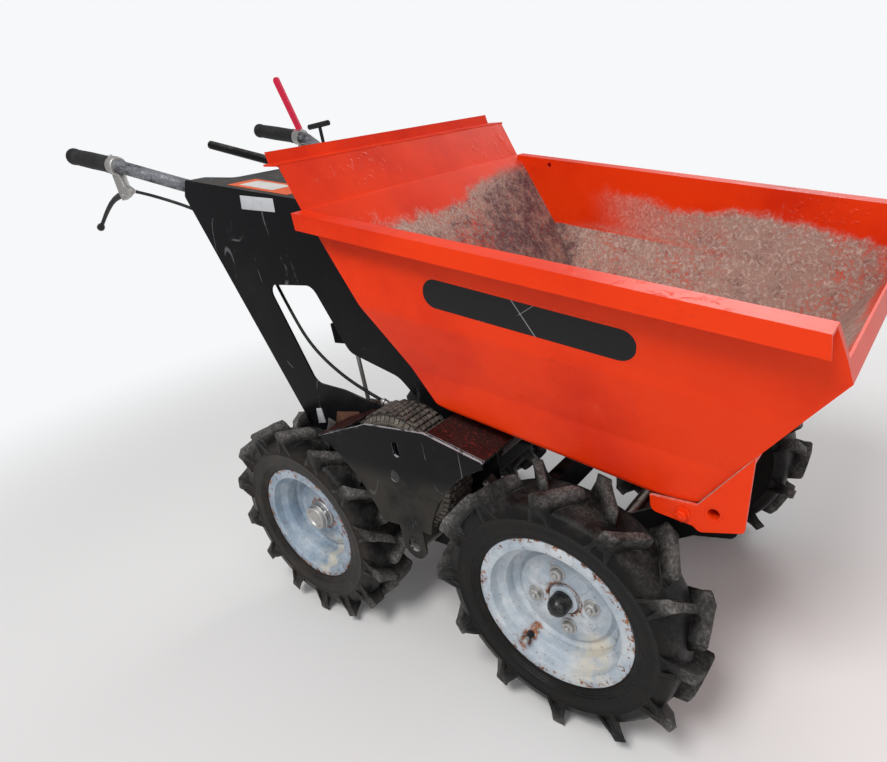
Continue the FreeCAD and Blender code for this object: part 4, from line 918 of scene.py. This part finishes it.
skipSide = BVHTree.FromPolygons([v.co for v in frame["nodes"]["skip_shell"].data.vertices],
                                [p.vertices for p in frame["nodes"]["skip_shell"].data.polygons])
pill = {  # the black label on the near side, its two end centres in x and z, and its half height
    "rear": (143.0, 648.5),
    "front": (384.0, 590.5),
    "half": 22.5,
    "border": 2.6,
    "thick": 0.35,
    "columns": 26,
    "scratchAt": (268.0, 619.0),
}


def pillOutline(half, columns):
    # pairs of upper and lower points along the label
    (x0, z0), (x1, z1) = pill["rear"], pill["front"]
    run = Vector((x1 - x0, z1 - z0))
    along, across = run.normalized(), Vector((-run.normalized().y, run.normalized().x))
    stations = [(-half * math.cos(math.pi / 2 * i / 7), half * math.sin(math.pi / 2 * i / 7)) for i in range(1, 8)]
    stations += [(run.length * i / columns, half) for i in range(1, columns)]
    stations += [(run.length + half * math.sin(math.pi / 2 * i / 7), half * math.cos(math.pi / 2 * i / 7))
                 for i in range(7)]
    rows = []
    for distance, height in stations:
        base = Vector((x0, z0)) + along * distance
        rows.append([base + across * height * way for way in (-1, -0.5, 0, 0.5, 1)])
    return rows


def label(name, half, thick, under):
    s = Shape()
    rings = []
    for row in pillOutline(half, pill["columns"]):
        found = []
        for x, z in row:
            hit, normal, _, _ = skipSide.ray_cast(at(x, -420, z), Vector((0, 1, 0)))
            found.append((hit, normal if normal.y < 0 else -normal))
        top = [hit + normal * (thick + under) * mm for hit, normal in found]
        bottom = [hit + normal * under * mm for hit, normal in reversed(found)]
        rings.append(top + bottom)
    s.loft(rings)
    return s.mesh(name, 0, 1, 40)


def labelPaint():
    s = Sheet("labelPaint")
    scratch = s.step(s.noise(9, 7, 0.8, s.stretched(1, 1, 3)), 0.66, 0.70)
    scratchX, scratchZ = (part * mm for part in pill["scratchAt"])
    across, rise = s.axis("X") - (middle["x"] + scratchX), s.axis("Z") - scratchZ
    long = s.step(abs(across + rise * 0.5), 0.0010, 0.0003)
    short = s.step(abs(across - rise * 1.9 + 0.012), 0.0010, 0.0003) * s.step(abs(rise - 0.010), 0.008, 0.005)
    tear = long + short * s.step(abs(across), 0.030, 0.020)
    color = s.tint(scratch * 0.6 + tear * 0.8, (0.010, 0.010, 0.011), (0.33, 0.33, 0.34))
    return s.finish(Base_Color=color, Roughness=0.34 + scratch * 0.2, Specular_IOR_Level=0.2,
                    Normal=s.bump(s.noise(60, 3), 0.0003, 0.4))


newPiece("pill_border", label("pill_border", pill["half"], 0.25, 0.05), finishes["skip_orange"], "skip", "skip_orange")
newPiece("pill_black", label("pill_black", pill["half"] - pill["border"], pill["thick"], 0.05), labelPaint(),
         "skip", "black_plastic")


def plate(name, corners, outward, thick, rounding, material, slot):
    # flat piece on the frame, from its corners in millimetres
    s = Shape()
    s.loft([[at(*corner) + outward * offset * mm for corner in corners] for offset in (0.1, 0.1 + thick)])
    newPiece(name, s.mesh("slab", rounding, 2, 40), material, "frame", slot)


console = {"rearX": -482, "rearHeight": 843, "run": 387, "fall": 77}  # its sloping top, in millimetres
toRight = Vector((0, -1, 0))


def onConsole(x0, y0, x1, y1, lift=0.0):
    # corners of a rectangle on the console's sloping top
    places = ((x0, y0), (x1, y0), (x1, y1), (x0, y1))
    return [(x, y, console["rearHeight"] - (x - console["rearX"]) * console["fall"] / console["run"] + lift)
            for x, y in places]


silver = plain("plateSilver", (0.52, 0.53, 0.55), (0.25, 0.25, 0.26), 0.32, 500, 0.5)
whiteSheet = plain("blankSheet", (0.62, 0.61, 0.58), (0.30, 0.27, 0.24), 0.45, 400, 0.4)
stickerOrange = plain("stickerOrange", (0.74, 0.10, 0.012), (0.40, 0.09, 0.03), 0.35, 300, 0.4)
up = Vector((console["fall"], 0, console["run"])).normalized()
makerPlace = [(-320, -205.2, 801), (-231, -205.2, 788), (-234, -205.2, 766), (-325, -205.2, 778)]
plate("maker_plate", makerPlace, toRight, 0.9, 0.3, silver, "bare_steel")
plate("sticker_orange", onConsole(-372, -190, -212, -128), up, 0.4, 0.0, stickerOrange, "skip_orange")
plate("sticker_white", onConsole(-352, -180, -262, -138, 0.5), up, 0.3, 0.0, whiteSheet, "bare_steel")
print("label and plates made")


def boltMesh():
    # hexagon head on a washer, its foot at the origin and its axis along Z
    s = Shape()
    s.bar(Vector((0, 0, 0)), Vector((0, 0, 1.6 * mm)), 9.5, 20)
    s.bar(Vector((0, 0, 1.6 * mm)), Vector((0, 0, 7.2 * mm)), 7.6, 6)
    s.bar(Vector((0, 0, 7.2 * mm)), Vector((0, 0, 9.4 * mm)), 3.6, 12, 3.2)
    return s.mesh("bolt", 0.6, 2)


bolts = {  # body: slot, then points, outward direction and scale
    "frame": ("bare_steel", [
        ((-265, -205, 330), (0, -1, 0), 0.8), ((-232, -205, 300), (0, -1, 0), 0.8),
        ((-265, 205, 330), (0, 1, 0), 0.8), ((-232, 205, 300), (0, 1, 0), 0.8),
        ((-210, -120, 553), (0, 0, 1), 0.9), ((-210, 120, 553), (0, 0, 1), 0.9),
        ((0, -120, 553), (0, 0, 1), 0.9), ((0, 120, 553), (0, 0, 1), 0.9),
    ]),
    "skip": ("skip_orange", [((433, -236, 372), (0, -1, 0), 1.0), ((433, 236, 372), (0, 1, 0), 1.0)]),
}
for body, (slot, places) in bolts.items():
    spots = [(at(*place), Vector(direction), scale) for place, direction, scale in places]
    mesh = joined("bolts_" + body, [scattered(boltMesh(), spots, finishes[slot])], 50)
    newPiece("bolts_" + body, mesh, finishes[slot], body, slot)
print("bolts made")


handleEnd = {  # the right handle's straight rear run, millimetres
    "end": (-822.0, -240.5, 931.0),
    "before": (-640.0, -235.5, 888.0),
    "leverAt": 164.0,
}
brakeShape = {  # from the middle of its clamp: forwards and upwards, then half width and half thickness
    "blade": [(3, -57, 4.4, 6.5), (-12, -55, 4.4, 7.0), (-30, -56, 4.4, 6.4), (-52, -60, 4.4, 5.6),
              (-75, -67, 4.4, 5.0), (-98, -77, 4.2, 4.6), (-120, -88, 4.0, 4.3), (-140, -99, 3.8, 4.0), (-152, -105.5, 3.8, 4.0),
              (-157, -108, 6.0, 6.0), (-162, -110.5, 7.8, 7.8), (-167, -113, 7.8, 7.8), (-171.5, -115.5, 4.6, 4.6)],
    "bracket": [(-13, -15, 8.0), (13, -15, 8.0), (17, -40, 6.5), (30, -47, 6.0), (30, -55, 6.0), (10, -62, 6.0),
                (-10, -66, 6.0), (-14, -52, 6.5)],
}
gripShape = [(-4, 12.6), (-4, 14.5), (-2.5, 16.4), (0, 17.0), (5, 17.0), (7, 15.9), (30, 16.2), (70, 16.6), (110, 16.2),
             (136, 16.0), (138, 16.9), (148, 16.9), (150, 15.6), (151, 12.6)]


def alongHandle(distance, side):
    end, before = Vector(handleEnd["end"]), Vector(handleEnd["before"])
    along = (before - end).normalized()
    point = end + along * distance
    return Vector((point.x, -side * point.y, point.z)), Vector((along.x, -side * along.y, along.z))


def ringAround(point, along, radius, count):
    across = along.orthogonal().normalized()
    other = along.cross(across)
    turns = [2 * math.pi * i / count for i in range(count)]
    return [at(*(point + (across * math.cos(a) + other * math.sin(a)) * radius)) for a in turns]


def gripMesh(side):
    s = Shape()
    point, along = alongHandle(0, side)
    rings = [ringAround(point + along * distance, along, radius, 28) for distance, radius in gripShape]
    rings += [ringAround(point + along * distance, along, 12.5, 28) for distance in (151, -4)]
    s.loft(rings, True)
    return s.mesh("grip", 0, 1, 45)


def brakeBracket():
    s = Shape()
    middlePoint, along = alongHandle(handleEnd["leverAt"], -1)
    s.loft([ringAround(middlePoint + along * d, along, r, 28) for d, r in ((-11, 17), (-9, 18.4), (9, 18.4), (11, 17))])
    rings = []
    for way in (-1, 1):
        rings.append([at(middlePoint.x + x, middlePoint.y + way * half, middlePoint.z + z)
                      for x, z, half in brakeShape["bracket"]])
    s.loft(rings)
    foot = middlePoint + Vector((6, 0, -46))
    out = Vector((1, 0, -0.2)).normalized()
    s.rods(foot, out, [(0, 30, 4.6, 16), (12, 19, 7.0, 6), (22, 28, 6.4, 6), (28, 45.6, 3.6, 16)])
    s.rods(middlePoint + Vector((0, 0, -57)), Vector((0, 1, 0)), [(-9, 9, 4.6, 6)])
    s.rods(middlePoint + Vector((0, -5, 0)), Vector((0, 0, 1)), [(16, 22, 5, 6)])
    return s.mesh("brakeBracket", 0.9, 2)


def brakeBlade():
    s = Shape()
    middlePoint, _ = alongHandle(handleEnd["leverAt"], -1)
    rings = []
    blade = brakeShape["blade"]
    for i, (x, z, wide, thick) in enumerate(blade):
        x0, z0 = blade[max(i - 1, 0)][:2]
        x1, z1 = blade[min(i + 1, len(blade) - 1)][:2]
        run = Vector((x1 - x0, 0, z1 - z0)).normalized()
        across = Vector((-run.z, 0, run.x))
        turns = [2 * math.pi * k / 14 for k in range(14)]
        centre = middlePoint + Vector((x, 0, z))
        rings.append([at(*(centre + across * thick * math.sin(a) + Vector((0, wide * math.cos(a), 0)))) for a in turns])
    s.loft(rings)
    return s.mesh("brakeBlade", 0, 1, 50)


for hand, side in (("right", -1), ("left", 1)):
    trim("grip_" + hand + "_moulded", gripMesh(side), "black_rubber", "grip_" + hand)
trim("brake_bracket", brakeBracket(), "bare_steel", "brake_lever")
trim("brake_blade", brakeBlade(), "black_plastic", "brake_lever")


def cableEnd():
    # threaded clevis that joins the brake cable above the drive tyre
    s = Shape()
    start, out = Vector((-104, -184.2, 428.9)), Vector((0.96, -0.06, -0.27)).normalized()
    s.rods(start, out, [(0, 16, 4.4, 16), (3, 8, 6.6, 6), (10, 14, 6.2, 6), (16, 22, 6.0, 12)])
    for way in (-1, 1):
        low = start + out * 20 + Vector((0, way * 4.6, 0))
        s.loft([[at(*(low + out * a + Vector((0, b, c)))) for b, c in ((-1.4, -6), (1.4, -6), (1.4, 6), (-1.4, 6))]
                for a in (0, 24)])
    s.rods(start + out * 36, Vector((0, 1, 0)), [(-8, 8, 3.4, 12)])
    return s.mesh("clevis", 0.5, 1)


trim("brake_clevis", cableEnd(), "bare_steel")
tab = [(-268, -205.0, 372), (-248, -205.0, 376), (-251, -205.0, 405), (-265, -205.0, 403)]
plate("foot_tab", tab, toRight, 3.0, 0.8, silver, "bare_steel")
rusty = plain("rustedSheet", (0.10, 0.045, 0.028), (0.20, 0.10, 0.06), 0.75, 160)
strip = [(-218, -205.0, 378), (-140, -205.0, 392), (-146, -205.0, 412), (-206, -205.0, 404)]
plate("rusted_strip", strip, toRight, 2.0, 0.6, rusty, "chassis_black")
print("levers and small fittings made")


engine = {  # places in millimetres, from the ground point midway between the axles
    "x": -150.0,
    "coverFoot": (100.0, 700.0),  # radius and height where the cover's slope starts
    "coverTop": (62.0, 724.0),
    "vents": 22,
    "cap": (-190.0, 113.0, 644.0),
    "capRibs": 20,
    "headEnd": (-296.0, 0.0, 601.0),
    "mufflerFace": -136.0,
    "slotColumns": (-195, -170, -145, -120),
    "slotRows": (590, 602, 614, 626),
    "coverRadius": 99.0,
    "handleHeight": 676.0,
}


def ventMesh():
    # raised louvre on the sloping part of the starter cover
    s = Shape()
    (r0, z0), (r1, z1) = engine["coverFoot"], engine["coverTop"]
    rings = []
    for share, wide, lift in ((0.10, 3.6, -1.0), (0.14, 3.4, 1.8), (0.86, 2.2, 1.8), (0.90, 2.0, -1.0)):
        r, z = r0 + (r1 - r0) * share, z0 + (z1 - z0) * share
        corners = ((-wide, -1), (wide, -1), (wide * 0.6, lift), (-wide * 0.6, lift))
        rings.append([Vector((r, y, z + dz)) * mm for y, dz in corners])
    s.loft(rings)
    return s.mesh("vent", 0.3, 1, 40)


def capRib():
    s = Shape()
    s.block((16.2 * mm, -1.1 * mm, 2 * mm), (18.2 * mm, 1.1 * mm, 13 * mm))
    return s.mesh("rib", 0.4, 1, 40)


def slotMesh():
    s = Shape()
    turns = [math.pi * i / 6 for i in range(12)]
    outline = [(2.2 * math.cos(a) + (7 if math.cos(a) > 0 else -7), 2.2 * math.sin(a)) for a in turns]
    s.loft([[Vector((y, x, z)) * mm for x, y in outline] for z in (0.1, 1.0)])
    return s.mesh("slot", 0.3, 1, 40)


def starterHandle():
    s = Shape()
    out = Vector((-0.42, -0.91, 0)).normalized()
    foot = Vector((engine["x"], 0, engine["handleHeight"])) + out * engine["coverRadius"]
    s.bar(at(*foot), at(*(foot + out * 8)), 9, 20, 7)
    across = Vector((-out.y, out.x, 0))
    rings = [ringAround(foot + out * 16 + across * d, across, r, 16)
             for d, r in ((-22, 2), (-20, 5), (-8, 6.5), (8, 6.5), (20, 5), (22, 2))]
    s.loft(rings)
    s.bar(at(*(foot + out * 6)), at(*(foot + out * 14)), 3, 10)
    return s.mesh("starterHandle", 0, 1, 50)


def sparkPlug():
    s = Shape()
    out = Vector((-1, 0, 0.15))
    s.rods(Vector(engine["headEnd"]), out, [(-2, 3, 9, 6), (3, 7, 6, 16), (6, 24, 7.5, 16)])
    return s.mesh("sparkPlug", 0.8, 2)


coverCentre = at(engine["x"], 0, 0)
vents = ringOf(ventMesh(), engine["vents"], 0.0, coverCentre, finishes["shroud_paint"], (0, 0, 1))
trim("cover_vents", joined("cover_vents", [vents]), "shroud_paint")
capRibs = ringOf(capRib(), engine["capRibs"], 0.0, at(*engine["cap"]), finishes["tank_plastic"], (0, 0, 1))
trim("fuel_cap_ribs", joined("fuel_cap_ribs", [capRibs]), "tank_plastic")
spots = [(at(x, engine["mufflerFace"], z), toRight, 1.0) for x in engine["slotColumns"] for z in engine["slotRows"]]
guardSlots = scattered(slotMesh(), spots, finishes["muffler_steel"])
trim("muffler_slots", joined("muffler_slots", [guardSlots]), "muffler_steel")
trim("starter_handle", starterHandle(), "black_plastic")
trim("spark_plug", sparkPlug(), "black_rubber")
print("engine details made")


view = {  # where the photograph was taken from
    "place": (688.4, -876.0, 833.2),
    "target": (-122.88, 0.0, 388.06),
    "lean": 10.905,
    "focalPixels": 645.8,
    "pictureWidth": 887,
}
lamps = {  # name: place, target, size in metres and watts
    "key": ((0.6, -2.2, 3.4), (0.1, 0, 0.4), 1.4, 85),
    "fill": ((2.8, -1.6, 1.6), (0.1, 0, 0.4), 2.4, 16),
    "back": ((0.4, 3.0, 2.6), (0.1, 0, 0.5), 2.0, 40),
}


stage = {  # lengths in metres from the origin
    "radius": 9,
    "fade": (1.0, 2.6),
    "white": (0.93, 0.94, 0.95),
    "sky": (0.92, 0.93, 0.95),
    "skyStrength": 0.45,
}


def setCamera():
    lens = bpy.data.cameras.new("camera")
    lens.sensor_width = 36
    lens.lens = view["focalPixels"] / view["pictureWidth"] * lens.sensor_width
    lens.clip_start = 0.02
    holder = bpy.data.objects.new("camera", lens)
    bpy.context.scene.collection.objects.link(holder)
    place, target = at(*view["place"]), at(*view["target"])
    turn = (target - place).to_track_quat("-Z", "Y").to_matrix().to_4x4()
    lean = Matrix.Rotation(math.radians(-view["lean"]), 4, "Z")
    holder.matrix_world = Matrix.Translation(place) @ turn @ lean
    bpy.context.scene.camera = holder


def setLamps():
    for name, (place, target, size, watts) in lamps.items():
        lamp = bpy.data.lights.new(name, "AREA")
        lamp.shape = "DISK"
        lamp.size = size
        lamp.energy = watts
        holder = bpy.data.objects.new(name, lamp)
        bpy.context.scene.collection.objects.link(holder)
        holder.location = place
        holder.rotation_euler = (Vector(target) - Vector(place)).to_track_quat("-Z", "Y").to_euler()


def setStage():
    # pale floor that fades into the white behind it, for the camera only
    s = Sheet("paleFloor")
    s.finish(Base_Color=(0.80, 0.79, 0.78), Roughness=0.9, Specular_IOR_Level=0.1)
    away = s.step(s.vector("LENGTH", [s.object], "Value"), *stage["fade"])
    away = away * s.node("LightPath", {}, {}, "Is Camera Ray")
    bright = s.node("Emission", {}, {"Color": stage["white"], "Strength": 1.0})
    faded = s.node("MixShader", {}, [away, Wire(s, s.surface.outputs[0]), bright])
    s.feed(s.tree.nodes["Material Output"].inputs["Surface"], faded)
    bm = bmesh.new()
    bmesh.ops.create_circle(bm, cap_ends=True, segments=48, radius=stage["radius"])
    mesh = bpy.data.meshes.new("floor")
    bm.to_mesh(mesh)
    bm.free()
    floor = bpy.data.objects.new("floor", mesh)
    floor.data.materials.append(s.material)
    bpy.context.scene.collection.objects.link(floor)


def setWorld():
    world = bpy.data.worlds.new("studio")
    bpy.context.scene.world = world
    world.use_nodes = True
    tree = world.node_tree
    soft = tree.nodes["Background"]
    soft.inputs["Color"].default_value = (*stage["sky"], 1)
    soft.inputs["Strength"].default_value = stage["skyStrength"]
    white = tree.nodes.new("ShaderNodeBackground")
    white.inputs["Color"].default_value = (*stage["white"], 1)
    seen = tree.nodes.new("ShaderNodeLightPath")
    either = tree.nodes.new("ShaderNodeMath")
    either.operation = "MAXIMUM"
    tree.links.new(seen.outputs["Is Camera Ray"], either.inputs[0])
    tree.links.new(seen.outputs["Is Transmission Ray"], either.inputs[1])
    blend = tree.nodes.new("ShaderNodeMixShader")
    tree.links.new(either.outputs[0], blend.inputs[0])
    tree.links.new(soft.outputs[0], blend.inputs[1])
    tree.links.new(white.outputs[0], blend.inputs[2])
    tree.links.new(blend.outputs[0], tree.nodes["World Output"].inputs["Surface"])


setCamera()
setLamps()
setStage()
setWorld()
bpy.context.scene.view_settings.view_transform = "Standard"
print("camera, lamps and floor set")
